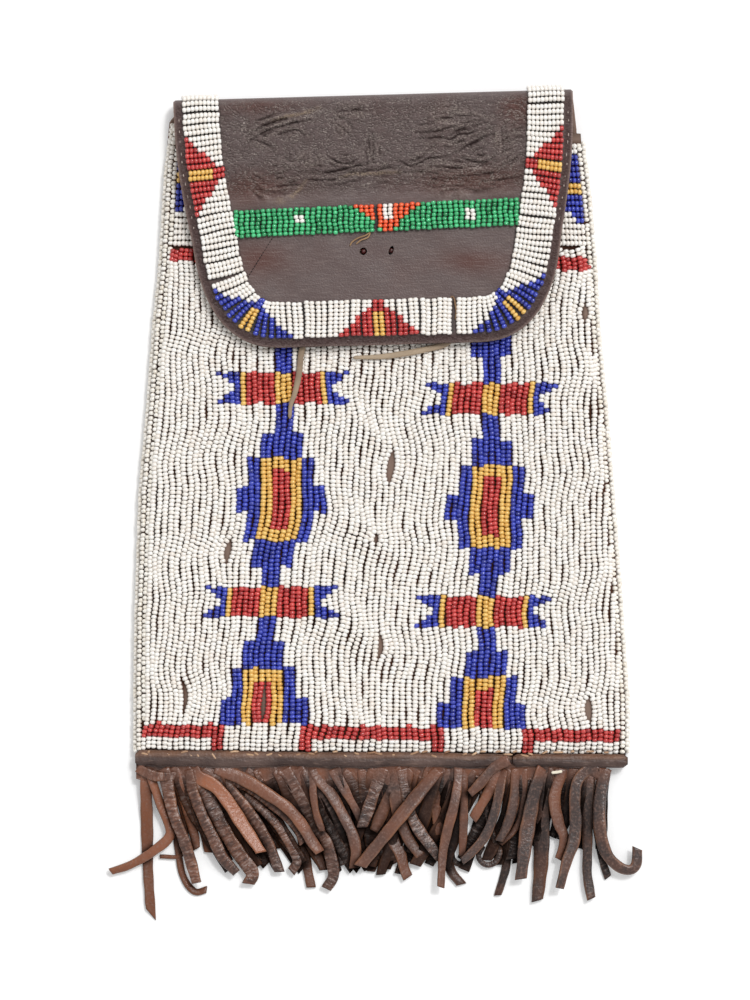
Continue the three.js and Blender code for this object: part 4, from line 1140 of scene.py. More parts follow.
# Redder spots: middle, width and height in pixels
WARM_SPOTS = (
    (262, 104, 48, 9), (258, 190, 42, 16), (470, 182, 62, 15), (522, 108, 22, 16),
    (262, 262, 34, 16), (470, 262, 40, 12),
)
CREASE_DEPTH = 0.66
CREASE_HALF = 0.4
CREASE_WAVER = 0.12
CREASE_LIMITS = (-0.8, 0.6)
CREASE_STEPS = 80
LIP_PLACE = 0.95
LIP_HALF = 0.5
LIP_HEIGHT = 0.65
TAN_HALF = 0.55
TAN_WAVER = 0.1
LINE_REACH = 3.0
ECHOES = (-2, -1, 1, 2)
ECHO_SPACING = 3.4
ECHO_STEPS = 24


def uneven(along, phase):
    """Waver along a line, about one unit either way."""
    return waves(along, (0.6, 0.9, phase[0]), (0.5, 0.37, phase[1]))


def flap_creases():
    """All creases: depth, wear and painted highlight of the lip, and pixels, with echoes of each on both
    sides of it.
    """
    found = [(depth, rub_and_lit, points) for depth, rub_and_lit, *points in CREASES]
    for depth, rub_and_lit, *points in CREASES:
        line = spline(points, ECHO_STEPS)
        across = unit(left_of(np.gradient(line, axis=0)))
        for echo in ECHOES:
            start = rng.integers(0, 10)
            end = start + rng.integers(9, 14)
            beside = line + across * (echo + rng.normal(0, 0.25)) * ECHO_SPACING
            shallower, lip = depth * rng.uniform(0.45, 0.9), rub_and_lit * rng.uniform(0.6, 1.3)
            found.append((shallower, lip, beside[start:end:3]))
    return found


def near_line(u, v, points, waver):
    """Places near a wavering line: which they are, how far off, on which side and the line's strength."""
    line = flap_spline(points, CREASE_STEPS)
    share = np.linspace(0, 1, len(line))
    along = share * lengths_along(line)[-1]
    ahead = unit(np.gradient(line, axis=0))
    phase = rng.uniform(0, FULL_TURN, 2)
    line = line + (waver * uneven(along, phase))[:, None] * left_of(ahead)
    low, high = line.min(axis=0) - LINE_REACH, line.max(axis=0) + LINE_REACH
    reach = (u > low[0]) & (u < high[0]) & (v > low[1]) & (v < high[1])
    offset = np.stack([u[reach], v[reach]], axis=-1)[:, None, :] - line[None]
    nearest = np.argmin((offset**2).sum(-1), axis=1)
    offset = offset[np.arange(len(nearest)), nearest]
    side = np.sign((left_of(ahead[nearest]) * offset).sum(-1))
    strength = np.sin(math.pi * np.clip(share, 0.06, 0.94)) ** 0.5
    strength = np.clip(strength * (0.86 + 0.14 * uneven(along, phase[::-1])), 0, 1)
    return reach, np.linalg.norm(offset, axis=-1), side, strength[nearest]


def creased_leather(u, v):
    """Height of the creased leather over its plain face, how much wear and painted highlight lighten it, and
    how tan.
    """
    height, rubbed, tan = np.zeros(u.shape), np.zeros(u.shape), np.zeros(u.shape)
    for depth, rub_and_lit, points in flap_creases():
        reach, away, side, strength = near_line(u, v, points, CREASE_WAVER)
        facing = rng.choice((-1, 1))
        lip = bell(away - LIP_PLACE, LIP_HALF) * (0.6 + 0.4 * side * facing) * strength
        valley = bell(away, CREASE_HALF) * strength
        height[reach] += CREASE_DEPTH * depth * (LIP_HEIGHT * lip - valley)
        rubbed[reach] = np.maximum(rubbed[reach], lip * rub_and_lit)
    for points in TAN_LINES:
        reach, away, _, strength = near_line(u, v, points, TAN_WAVER)
        tan[reach] = np.maximum(tan[reach], bell(away, TAN_HALF) * strength)
    return np.clip(height, *CREASE_LIMITS), rubbed, tan


def warmth(u, v):
    """Where the leather is redder."""
    warm = np.zeros(u.shape)
    for px, py, wide, high in WARM_SPOTS:
        at_u, at_v = photo_to_flap(px, py)
        warm = warm + bell(u - at_u, wide * PIXEL) * bell(v - at_v, high * PIXEL)
    return np.clip(warm, 0, 1)


# Beadwork of the flap. Partings of the border by pixels: size, and share of it at the inner bead
BORDER_BEADS = 9
BORDER_PITCH = 2.08
BORDER_WIDTH = 1.97
BORDER_MIDDLE = FLAP_LIP + BORDER_BEADS * BEAD_ROW / 2
PITCH_DEPTH = 12.0
BORDER_PARTINGS = ((455, 314, 0.75, 1.0), (213, 285, 0.9, 0.1))
PARTING_LENGTH = 10.0
PARTING_STRINGS = 1.5
# Unevenness of its strings: ends, shared sway, every other string, and each string by itself
BORDER_UNEVEN = 0.15
BORDER_SWAY = 0.22
BORDER_STAGGER = 0.06
BORDER_SHIFT = 0.11
CORNER_FILL = 0.96
TRIANGLE_STEPS = (7, 6, 5, 3, 2, 1)
TRIANGLE_YELLOW = 6
# Middles of the border's triangles in u and v, and their colour
TRIANGLES = (
    (FLAP_TOP_HALF - 4, -27.8, "red"), (4 - FLAP_TOP_HALF, -30.6, "red"), (0, -FLAP_LENGTH, "red"),
    (48.3, -77.1, "blue"), (-47.3, -81.7, "blue"),
)
BAND_V = -44.0
BAND_HALF = 50.4
BAND_STRINGS = 52
BAND_ROW = 1.42
BAND_ROWS = 7
BAND_TILT = 0.018
WEDGE_U = 3.0
WEDGE_ROWS = (7, 6, 4, 3, 2, 1)
WEDGE_WHITE_ROWS = 4
BAND_SQUARES = {-27.8: (2, 3), 32.3: (2, 3, 4)}
BAND_PARTED_AT = -0.8
BAND_PARTING = 0.5
BAND_PARTING_REACH = 5.0
BAND_BEAD_WIDTH = 0.9 * BEAD_WIDTH
BAND_BEAD_LENGTH = 0.97 * BAND_ROW
BAND_UNEVEN = 0.12
BAND_BEAD_UNEVEN = 0.05
BAND_SWAY = 0.2


def border_strings():
    """Outer end and inward way of each string of the border, round the flap."""
    edge = flap_edge()
    whole = np.vstack([edge, (edge * (-1, 1))[::-1][1:]])
    inward = -left_of(unit(np.gradient(whole, axis=0)))
    middle = whole + inward * BORDER_MIDDLE
    along = lengths_along(np.stack([middle[:, 0], run_at(middle[:, 1])], axis=1))
    count = int(along[-1] / BORDER_PITCH)
    at = (np.arange(count) + 0.5) * along[-1] / count
    return resampled(whole, along, at), unit(resampled(inward, along, at))


def nearest_string(ends, ways, u, v):
    return int(np.argmin(np.linalg.norm(ends + ways * BORDER_MIDDLE - (u, v), axis=1)))


def border_colours(ends, ways):
    """Colours of the beads of each string of the border that isn't all white."""
    colours = {}
    for u, v, colour in TRIANGLES:
        middle = nearest_string(ends, ways, u, v)
        for string in (middle, middle + 1):
            colours[string] = ["yellow"] * TRIANGLE_YELLOW + [colour] * (BORDER_BEADS - TRIANGLE_YELLOW)
        for place, reach in enumerate(TRIANGLE_STEPS):
            for string in (middle - 1 - place, middle + 2 + place):
                colours[string] = [colour] * reach + ["white"] * (BORDER_BEADS - reach)
    return colours


def add_border(beads):
    ends, ways = border_strings()
    patterns = border_colours(ends, ways)
    partings = []
    for px, py, size, inner in BORDER_PARTINGS:
        at = nearest_string(ends, ways, *photo_to_flap(px, py)) + 0.5
        partings.append((at, size * np.linspace(1, inner, BORDER_BEADS)))
    bead = np.arange(BORDER_BEADS)
    for number, (end, way) in enumerate(zip(ends, ways)):
        inset = FLAP_LIP + (bead + 0.5) * BEAD_ROW + rng.normal(0, BORDER_UNEVEN)
        sway = BORDER_SWAY * np.sin(bead / 2.2 + number / 3.0)
        sway = sway + (BORDER_STAGGER if number % 2 else -BORDER_STAGGER)
        for at, size in partings:
            sway = sway - size * np.sign(number - at) * math.exp(-abs(number - at) / PARTING_STRINGS)
        sway = sway + rng.normal(0, BORDER_SHIFT)
        u, v = (end + inset[:, None] * way - sway[:, None] * left_of(way)).T
        places = on_flap_face(u, v, BEAD_HEIGHT / 2)
        up = places - on_flap_face(u, v, 0)
        width = np.full(BORDER_BEADS, BORDER_WIDTH)
        if abs(v[0]) > FLAP_SIDE_LENGTH:
            near = slice(max(number - 1, 0), number + 2)
            pitch = np.linalg.norm(np.diff(ends[near] + ways[near] * PITCH_DEPTH, axis=0), axis=1).min()
            width = np.linspace(BORDER_WIDTH, min(BORDER_WIDTH, pitch * CORNER_FILL), BORDER_BEADS)
        colours = patterns.get(number, ["white"] * BORDER_BEADS)
        along = np.gradient(places, axis=0)
        beads.string("flap_border", places, along, up, colours, bead_sizes(width))


def band_colour(number, row, centre, squares):
    """Colour of a bead of the band, rows counted from its upper edge."""
    c = min(abs(number - centre), abs(number - centre - 1))
    if c == 0 and row < WEDGE_WHITE_ROWS:
        return "white"
    if c < len(WEDGE_ROWS) and row < WEDGE_ROWS[c]:
        return "orange"
    if any(number in (at, at + 1) and row in rows for at, rows in squares.items()):
        return "white"
    return "green"


def add_band(beads):
    us = np.linspace(-BAND_HALF, BAND_HALF, BAND_STRINGS)
    centre = int(np.argmin(np.abs(us - WEDGE_U)))
    squares = {int(np.argmin(np.abs(us - at))): rows for at, rows in BAND_SQUARES.items()}
    up = np.tile(WORLD_UP, (BAND_ROWS, 1))
    sizes = bead_sizes(np.full(BAND_ROWS, BAND_BEAD_WIDTH), BAND_BEAD_LENGTH)
    rows = (BAND_ROWS / 2 - 0.5 - np.arange(BAND_ROWS)) * BAND_ROW
    for number, u in enumerate(us):
        v = BAND_V + rows + rng.normal(0, BAND_UNEVEN) + BAND_TILT * (u - BAND_HALF)
        away = u - BAND_PARTED_AT
        u = u + BAND_PARTING * np.sign(away) * math.exp(-abs(away) / BAND_PARTING_REACH)
        u = u + rng.normal(0, BAND_BEAD_UNEVEN, BAND_ROWS) + BAND_SWAY * np.sin(v + 0.35 * number)
        places = flap_place(u, v, FLAP_TOP_Z + BEAD_HEIGHT / 2)
        colours = [band_colour(number, row, centre, squares) for row in range(BAND_ROWS)]
        beads.string("flap_band", places, np.gradient(places, axis=0), up, colours, sizes)


def beadwork_cover(u, v, inset):
    """Where the flap's beads hide the leather, which is darkened there as painted shade with thread, less so
    along the border's partings.
    """
    outer, inner = inset - FLAP_LIP, FLAP_LIP + BORDER_BEADS * BEAD_ROW - inset
    border = smoothstep(outer / 0.8) * smoothstep(inner / 0.8)
    off_band = np.abs(v - BAND_V - BAND_TILT * (u - BAND_HALF))
    band = smoothstep((BAND_ROWS * BAND_ROW / 2 - off_band) / 1.2) * (np.abs(u) < BAND_HALF)
    ends, ways = border_strings()
    for px, py, size, _ in BORDER_PARTINGS:
        at_u, at_v = photo_to_flap(px, py)
        way_u, way_v = ways[nearest_string(ends, ways, at_u, at_v)]
        across = (u - at_u) * way_v - (v - at_v) * way_u
        past_end = np.maximum(np.hypot(u - at_u, v - at_v) - PARTING_LENGTH, 0)
        border = border * (1 - bell(np.hypot(across, past_end), size))
    return np.maximum(border, band)


# Leather of the flap, the fold and the back
SHOULDER_V = -14.0
LEFT_SHOULDER_V = -7.2
LEFT_SHOULDER_HALF = (74.6, 73.7)
RIGHT_SHOULDER_HALF = 73.2
RIM_SPREAD = 1.02
RIM_SHARE = 0.05
RIM_ROUND = 0.9
RIM_PALE = 0.6
RIM_DROP = 0.75
RIM_THINNER = 0.6
BACK_RIM_DROP = 0.7
LIP_GROOVE_DEPTH = 0.1
LIP_GROOVE_INSET = 1.4
LIP_GROOVE_HALF = 0.5
CREASED_INSET = 14.0
WORKED_V = -38.0
TOOLED_V = -36.0
FOOT_RIM = 6.0
TIE_HOLES = (-5.0, 5.0)
TIE_HOLE_V = -56.7
TIE_HOLE_RADIUS = 1.35
TIE_HOLE_DEPTH = 12.0
TIE_HOLE_SHAPES = ((1.0, 1.0), (0.6, 1.25))
TIE_HOLE_TURN = -0.3


def shares_across(*inner):
    """Shares of the half width from the left edge to the right, close together at the edges."""
    half = np.concatenate([*inner, 1 - RIM_SHARE * np.linspace(1, 0, 11) ** 1.6])
    return np.concatenate([-half[::-1], half[1:]])


def rim_rounding(inset):
    return (1 - np.clip(inset / RIM_ROUND, 0, 1)) ** 2


def flap_runs():
    """Runs from the fold's middle of the leather's rows, from the shoulders to the flap's foot."""
    back = np.linspace(-QUARTER + FOLD_RADIUS + SHOULDER_V, -QUARTER, 9)
    turn = np.linspace(-QUARTER, QUARTER, 18)
    tooled = run_at(np.linspace(-FOLD_RADIUS, TOOLED_V, 84))
    plain = run_at(np.linspace(TOOLED_V, -FLAP_LENGTH + FOOT_RIM, 28))
    foot = run_at(-FLAP_LENGTH + FOOT_RIM * np.linspace(1, 0, 12) ** 2)
    rows = [back[:1], back[:1] + 0.05, back[1:-1], turn[:-1], tooled[:-1], plain[:-1], foot]
    return np.concatenate(rows)


def leather_halves(run, v):
    """Half widths to the left and to the right, wider behind the fold than on the flap."""
    flap = flap_half(v)
    behind = np.clip((v - SHOULDER_V) / -SHOULDER_V, 0, 1)
    right = RIGHT_SHOULDER_HALF + (FLAP_TOP_HALF - RIGHT_SHOULDER_HALF) * behind
    corner = smoothstep((v - LEFT_SHOULDER_V) / 1.5)
    left = np.interp(v, (SHOULDER_V, LEFT_SHOULDER_V), LEFT_SHOULDER_HALF)
    left = left * (1 - corner) + FLAP_TOP_HALF * corner
    return np.where(run < 0, left, flap), np.where(run < 0, right, flap)


def make_flap_leather(material):
    """Flap, fold and the top of the back as one leather, its outer face tooled."""
    run = flap_runs()
    v, z, out_v, out_z = fold_run(run)
    left, right = leather_halves(run, v)
    share = shares_across(np.linspace(0, 0.72, 120), np.linspace(0.72, 0.95, 12)[1:-1])
    v, z, out_v, out_z, run = (grid_of(a, len(share)) for a in (v, z, out_v, out_z, run))
    half = np.where(share < 0, left[:, None], right[:, None])
    u = half * share
    inset = np.where(run < 0, half * (1 - np.abs(share)), edge_distance(u, v))
    on_flap = smoothstep((run - 1) / 6)
    creased, rubbed, tan = creased_leather(u, v)
    field = smoothstep((inset - CREASED_INSET) / 2) * on_flap
    ripple = 0.16 * np.sin(u / 9.0 + 1.2) * np.sin(v / 7.0) + 0.08 * np.sin(u / 3.7 + v / 2.9)
    groove = -LIP_GROOVE_DEPTH * bell(inset - LIP_GROOVE_INSET, LIP_GROOVE_HALF)
    rounding = rim_rounding(inset)
    lift = -RIM_DROP * rounding + on_flap * (groove + ripple) + creased * field
    outer = flap_place(u, v + lift * out_v, z + lift * out_z)
    depth = LEATHER - RIM_THINNER * rounding
    inner = flap_place(u, v - depth * out_v, z - depth * out_z)
    # Painted highlight along the cut rim
    edge = bell(inset, RIM_PALE)
    lip = smoothstep((FLAP_LIP + 0.6 - inset) / 1.2) * on_flap
    # sunk and beaded darken the creases' hollows and the leather under the beads as painted shade
    attributes = {
        "rubbed": both_faces(rubbed * field), "tan": both_faces(tan * field), "edge": both_faces(edge, edge),
        "sunk": both_faces(np.clip(-2.4 * creased, 0, 1) * field), "lip": both_faces(lip),
        "worked": both_faces(np.maximum(smoothstep((v - WORKED_V) / 6) * field, 0.7 * lip * (1 - edge))),
        "warm": both_faces(warmth(u, v) * on_flap), "flesh": both_faces(np.zeros(u.shape), np.ones(u.shape)),
        "beaded": both_faces(beadwork_cover(u, v, inset) * smoothstep(run - 1)),
    }
    flat = np.stack([u, -run], axis=-1).reshape(-1, 2) * MM
    both = np.vstack([flat, flat * RIM_SPREAD])
    piece = plate("flap_leather", outer, inner, material, None, "flap_leather", attributes, both)
    drill_tie_holes(piece)
    blend_fold(piece)
    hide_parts("flap")


def drill_tie_holes(piece):
    for number, u in enumerate(TIE_HOLES):
        place = flap_place(u, TIE_HOLE_V, FLAP_TOP_Z) * MM
        size = {"radius": TIE_HOLE_RADIUS * MM, "depth": TIE_HOLE_DEPTH * MM}
        bpy.ops.mesh.primitive_cylinder_add(vertices=24, location=place, **size)
        bore = bpy.context.object
        bore.scale = (*TIE_HOLE_SHAPES[number], 1.0)
        bore.rotation_euler[2] = TIE_HOLE_TURN * number
        cut = piece.modifiers.new(f"hole_{number}", "BOOLEAN")
        cut.operation, cut.solver, cut.object = "DIFFERENCE", "EXACT", bore
    graph = bpy.context.evaluated_depsgraph_get()
    cut_mesh = bpy.data.meshes.new_from_object(piece.evaluated_get(graph))
    bores = [m.object for m in piece.modifiers]
    piece.modifiers.clear()
    piece.data = cut_mesh
    for bore in bores:
        bpy.data.objects.remove(bore)


def blend_fold(piece):
    """Bakes a piece's placement into its points; the ends across the fold are worked out but not used."""
    start = FOLD_PLACE * MM
    end = FOLD_PLACE * MM
    start[2], end[2] = LEATHER * MM, (2 * FOLD_RADIUS - LEATHER) * MM
    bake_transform(piece)


def make_back(material):
    """Back panel from the hem up to the shoulders, where the leather of the fold begins."""
    top = FOLD_PLACE[1] + SHOULDER_V
    rows = [np.linspace(HEM_Y, top - 2, 90), np.linspace(top - 1.9, top - 0.05, 6), [top]]
    share = shares_across(np.linspace(0, 0.95, 32)[:-1])
    level = grid_of(np.concatenate(rows), len(share))
    skew = smoothstep(level / top)
    shoulder = smoothstep((level - top + 2.0) / 0.6)
    right = half_width(level) * (1 - shoulder) + RIGHT_SHOULDER_HALF * shoulder
    left = half_width(level) * (1 - skew**8) + LEFT_SHOULDER_HALF[0] * skew**8
    half = np.where(share < 0, left, right)
    u = half * share
    x = centre_x(level) * (1 - skew) + (FOLD_PLACE[0] - SHOULDER_V * FOLD_ALONG[1]) * skew + u
    y = level + u * FOLD_ALONG[1] * skew
    inset = half * (1 - np.abs(share))
    rounding = BACK_RIM_DROP * rim_rounding(inset)
    upper = np.stack([x, y, LEATHER - rounding], axis=-1)
    lower = np.stack([x, y, rounding], axis=-1)
    edge = bell(inset, RIM_PALE)
    attributes = {"edge": both_faces(edge, edge), "flesh": both_faces(np.ones(x.shape))}
    flat = np.stack([x, y], axis=-1).reshape(-1, 2) * MM
    both = np.vstack([flat, flat * RIM_SPREAD])
    piece = plate("back_leather", upper, lower, material, "case", "back_leather", attributes, both)
    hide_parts("back_panel")


# Foot welt and its stitches
WELT_SPLIT = 47.0
WELT_GAP = 0.4
WELT_STEP = 1.5
WELT_ROWS = 13
WELT_PINCH = 1.6
WELT_OVER = 0.5
# Waves of its edges and its height: height, length and turn of each
WELT_FOOT_WAVES = ((0.35, 7.0, 0), (0.2, 2.9, 0))
WELT_TOP_WAVES = ((0.2, 11.0, 1),)
WELT_HEIGHT_WAVES = ((0.12, 3.1, 0),)
STITCH_PITCH = 4.6
STITCH_LENGTH = 3.4
STITCH_UNEVEN = (-0.7, 0.6)
STITCH_LEAN = (0.1, 0.45)
STITCH_LENGTHS = (0.4, 1.2)
STITCH_SPACING = (0.5, 1.5)
STITCH_HIGHEST = 0.8
STITCH_ARCH = 0.5
STITCH_SUNK = 0.6
STITCH_STEPS = 7
STITCH_HALF = (0.38, 0.3)


def make_welt(name, start, end, material):
    x = np.linspace(start, end, max(12, int((end - start) / WELT_STEP)))
    share = np.linspace(0, 1, WELT_ROWS)[:, None]
    foot = welt_low[1] + waves(x, *WELT_FOOT_WAVES)
    top = welt_high[1] + WELT_OVER + FOOT_TILT * x + waves(x, *WELT_TOP_WAVES)
    ends = np.clip(np.minimum(x - start, end - x) / WELT_PINCH, 0, 1)
    pinch = 0.55 + 0.45 * np.sqrt(1 - (1 - ends) ** 2)
    y = (foot + top) / 2 + (share - 0.5) * (top - foot) * pinch
    crown = np.sqrt(np.clip(1 - np.abs(2 * share - 1) ** 2.6, 0, 1))
    bulge = welt_high[2] - welt_low[2] + waves(x, *WELT_HEIGHT_WAVES)
    z = welt_low[2] + 0.15 + crown * bulge * pinch
    upper = np.stack(np.broadcast_arrays(x, y, z), axis=-1)
    lower = np.stack(np.broadcast_arrays(x, y, welt_low[2]), axis=-1)
    frayed = smoothstep((share - 0.5) / 0.25) * (0.7 + 0.3 * np.sin(x / 2.3) * np.sin(x / 5.1))
    attributes = {"edge": both_faces(frayed, frayed)}
    piece = plate(f"foot_{name}", upper, lower, material, "case", "welt_leather", attributes)
    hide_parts(name)


def make_stitches(material):
    """Uneven thread stitches along the welt's upper edge, each a little tube over the leather."""
    lines = []
    share = np.linspace(0, 1, STITCH_STEPS)
    x = welt_low[0] + 2
    while x < -welt_low[0] - 4:
        y = welt_high[1] + rng.uniform(*STITCH_UNEVEN)
        length = STITCH_LENGTH * rng.uniform(*STITCH_LENGTHS)
        lean = rng.normal(*STITCH_LEAN)
        across = x + share * length * math.cos(lean)
        up = np.minimum(y + share * length * math.sin(lean), welt_high[1] + STITCH_HIGHEST)
        z = welt_high[2] - STITCH_SUNK + STITCH_ARCH * np.sin(share * math.pi)
        lines.append(np.stack([across, up, z], axis=1))
        x += STITCH_PITCH * rng.uniform(*STITCH_SPACING)
    make_tubes("welt_stitches", lines, *STITCH_HALF, 6, material, "case", "tie_leather")


# Thongs of the fringe, by pixels of the photograph: width, layer, tone from dark to tan, roll in degrees,
# then the points that each passes from the header to its tip
THONGS = (
    (10, 6, 0.1, 0, (137, 768), (146, 773), (158, 777), (175, 776)),
    (12, 0, 0.55, 8, (145, 776), (146, 823), (147, 868), (150, 916)),
    (10, 2, 0.6, 20, (150, 776), (160, 805), (170, 834), (153, 852), (130, 866), (110, 873)),
    (5, 0, 0.6, 0, (176, 790), (186, 840), (180, 857), (159, 858)),
    (13, 4, 0.12, -14, (165, 776), (172, 812), (183, 840), (190, 862), (196, 884)),
    (8, 0, 0.5, 10, (172, 800), (178, 855), (183, 879), (194, 893), (206, 891)),
    (10, 1, 0.75, 5, (176, 776), (185, 807), (193, 834), (196, 850)),
    (12, 4, 0.08, -18, (187, 770), (193, 794), (203, 819), (213, 839), (222, 858), (236, 874)),
    (13, 0, 0.95, 4, (199, 785), (203, 824), (209, 854)),
    (15, 2, 0.15, 12, (203, 784), (215, 814), (227, 837), (240, 857), (252, 874), (248, 885)),
    (7, 1, 0.2, 0, (210, 784), (232, 822), (246, 844), (259, 862)),
    (14, 5, 0.8, 6, (197, 777), (215, 787), (229, 804), (241, 823), (253, 841), (261, 853)),
    (13, 3, 0.1, -10, (208, 775), (226, 788), (244, 808), (259, 829), (270, 849), (279, 873)),
    (11, 2, 0.15, 10, (213, 776), (240, 794), (260, 808), (276, 824), (288, 842), (297, 861), (291, 873)),
    (11, 3, 0.2, 0, (215, 775), (252, 790), (285, 816), (298, 831), (303, 844)),
    (13, 5, 0.3, 12, (215, 768), (244, 780), (270, 796), (287, 808), (301, 824), (312, 842), (320, 853)),
    (13, 2, 0.2, -8, (289, 778), (305, 808), (316, 829), (326, 844), (332, 864), (333, 878), (326, 890)),
    (8, 3, 0.35, 0, (312, 774), (313, 794), (316, 814), (322, 832)),
    (15, 1, 0.08, 6, (309, 778), (320, 800), (334, 824), (342, 844), (344, 866)),
    (12, 0, 0.4, 0, (296, 785), (301, 820), (305, 857), (311, 889)),
    (12, 3, 0.25, 10, (318, 778), (332, 796), (342, 814), (352, 834), (356, 852), (354, 869)),
    (11, 2, 0.3, -6, (336, 775), (346, 792), (358, 812), (364, 830)),
    (13, 3, 0.2, 8, (383, 768), (376, 787), (369, 808), (362, 828)),
    (13, 2, 0.3, 0, (400, 773), (391, 794), (382, 814), (374, 832)),
    (10, 0, 0.35, 0, (372, 780), (376, 815), (380, 850), (371, 873)),
    (14, 5, 0.35, -10, (438, 770), (424, 787), (404, 812), (384, 837), (360, 867)),
    (14, 1, 0.45, 8, (384, 780), (388, 812), (392, 839), (400, 854), (404, 869), (408, 879)),
    (13, 2, 0.25, 0, (394, 780), (398, 812), (408, 839), (421, 857)),
    (12, 3, 0.2, 6, (404, 778), (410, 812), (420, 832), (431, 847), (441, 861)),
    (12, 1, 0.5, 0, (434, 775), (437, 809), (440, 836)),
    (10, 5, 0.5, 14, (459, 766), (458, 784), (454, 806), (448, 829), (443, 854), (441, 888)),
    (9, 2, 0.6, 0, (464, 775), (464, 819), (463, 844), (462, 858)),
    (11, 6, 0.4, 0, (509, 760), (494, 768), (480, 784), (470, 794)),
    (11, 3, 0.75, 8, (497, 775), (487, 796), (480, 808), (473, 820)),
    (10, 4, 0.25, -10, (503, 772), (498, 800), (492, 822), (484, 839), (472, 853), (462, 862)),
    (11, 3, 0.3, 0, (516, 775), (514, 804), (507, 827), (499, 842)),
    (7, 2, 0.5, 0, (525, 776), (522, 814), (514, 832), (500, 845)),
    (9, 0, 0.35, 0, (512, 780), (511, 820), (507, 864), (503, 881), (498, 897)),
    (6, 1, 0.2, 0, (484, 800), (494, 838), (500, 852), (496, 863), (486, 866), (479, 858), (484, 847)),
    (7, 0, 0.2, 0, (452, 785), (452, 830), (453, 860), (467, 868)),
    (12, 0, 0.3, 0, (446, 780), (446, 830), (450, 868), (462, 886)),
    (15, 4, 0.3, 10, (542, 773), (535, 793), (531, 812), (527, 834), (524, 857), (521, 880)),
    (16, 1, 0.35, -6, (547, 776), (543, 817), (542, 845), (541, 873), (538, 902)),
    (12, 3, 0.75, 5, (561, 776), (555, 799), (559, 823), (565, 840), (560, 861)),
    (
        12, 5, 0.3, 12, (600, 774), (590, 770), (578, 781), (575, 801), (576, 823), (574, 843), (567, 862),
        (560, 889),
    ),
    (11, 2, 0.3, 0, (590, 775), (588, 807), (588, 834), (588, 857), (588, 876), (592, 900)),
    (
        13, 4, 0.35, -12, (605, 775), (600, 801), (600, 829), (606, 853), (618, 867), (630, 871), (637, 865),
        (638, 849),
    ),
    (9, 0, 0.1, 0, (594, 780), (598, 830), (603, 860), (609, 879)),
)
THONG_THICKNESS = 1.2
THONG_LIFT = 1.25
THONG_STATION = 0.75
THONG_MIN_STATIONS = 14
THONG_SECTION = (
    (-1, -0.3), (-0.98, 0.12), (-0.88, 0.36), (-0.6, 0.46), (-0.2, 0.5), (0.2, 0.5),
    (0.6, 0.46), (0.88, 0.36), (0.98, 0.12), (1, -0.3), (0.87, -0.5), (-0.87, -0.5),
)
THONG_SIDES = len(THONG_SECTION)
THONG_CURL = 15.0
POINTED_TIP = (150, 916)
POINTED_SLANT = -1.3
TIP_LENGTH = 4.0
ROOT_PIXEL = 769
ROOT_DEPTH = 1.4
ROOT_STEP = 0.22
RISE_LENGTH = 24.0
ROOT_OVER = 0.6
TIP_SINK = 0.25
FLOOR_GAP = 0.15
LEAST_FLOOR_GAP = 0.1
BUCKLE = 0.4
BUCKLE_LENGTH = 7.0
TIP_NARROWER = 0.2
CURL_LENGTH = 11.0
DISH = 0.3
FREE_LENGTH = 9.0
HEADER_TONE = 0.4
CREASED_TONE = 0.22
# Thongs behind, in pixels: where they start, their lean over a drop of LEAN_DROP, how far they drop
UNDER_SPAN = (176, 604)
UNDER_SPACING = 7.0
UNDER_TOP = 776
UNDER_LEAN = ((185, 30), (300, 34), (350, 26), (380, -10), (440, -24), (500, -26), (540, -8), (600, -4))
LEAN_DROP = 60
UNDER_DROP = (72, 98)
UNDER_SHORTER = 20
SHORTER_SPAN = (500, 560)
# Painted shade of the thongs behind, from a fifth of their length on
UNDER_SHADE = 0.4
# Change of tone from the left of the fringe to its right, by pixels
FRINGE_FADE = ((150, 0.24), (300, 0.1), (450, -0.16), (600, -0.32))
OVERLAP_ACROSS = np.array([-1.0, -0.33, 0.33, 1.0])
NOT_OVER = 9.0

# Middle line of a thong with its height, half width, share and length along, and the turns of its waves
Path = namedtuple("Path", "line z half share length phase")


def under_thongs():
    """Thongs that lie behind those that are seen whole, leaning as their neighbours do."""
    found = []
    for px in np.arange(*UNDER_SPAN, UNDER_SPACING):
        lean = np.interp(px, *zip(*UNDER_LEAN)) + rng.normal(0, 6)
        shorter = smoothstep((px - SHORTER_SPAN[0]) / (SHORTER_SPAN[1] - SHORTER_SPAN[0]))
        drop = rng.uniform(*UNDER_DROP) - UNDER_SHORTER * shorter
        top, foot = (px, UNDER_TOP), (px + lean * drop / LEAN_DROP, UNDER_TOP + 2 + drop)
        middle = ((top[0] + foot[0]) / 2 - 0.12 * lean, (top[1] + foot[1]) / 2)
        tone = rng.uniform(0.0, 0.4)
        width, layer, roll = rng.uniform(11, 15), rng.choice((0, 1)), rng.normal(0, 10)
        found.append((width, layer, tone, roll, top, middle, foot))
    return found


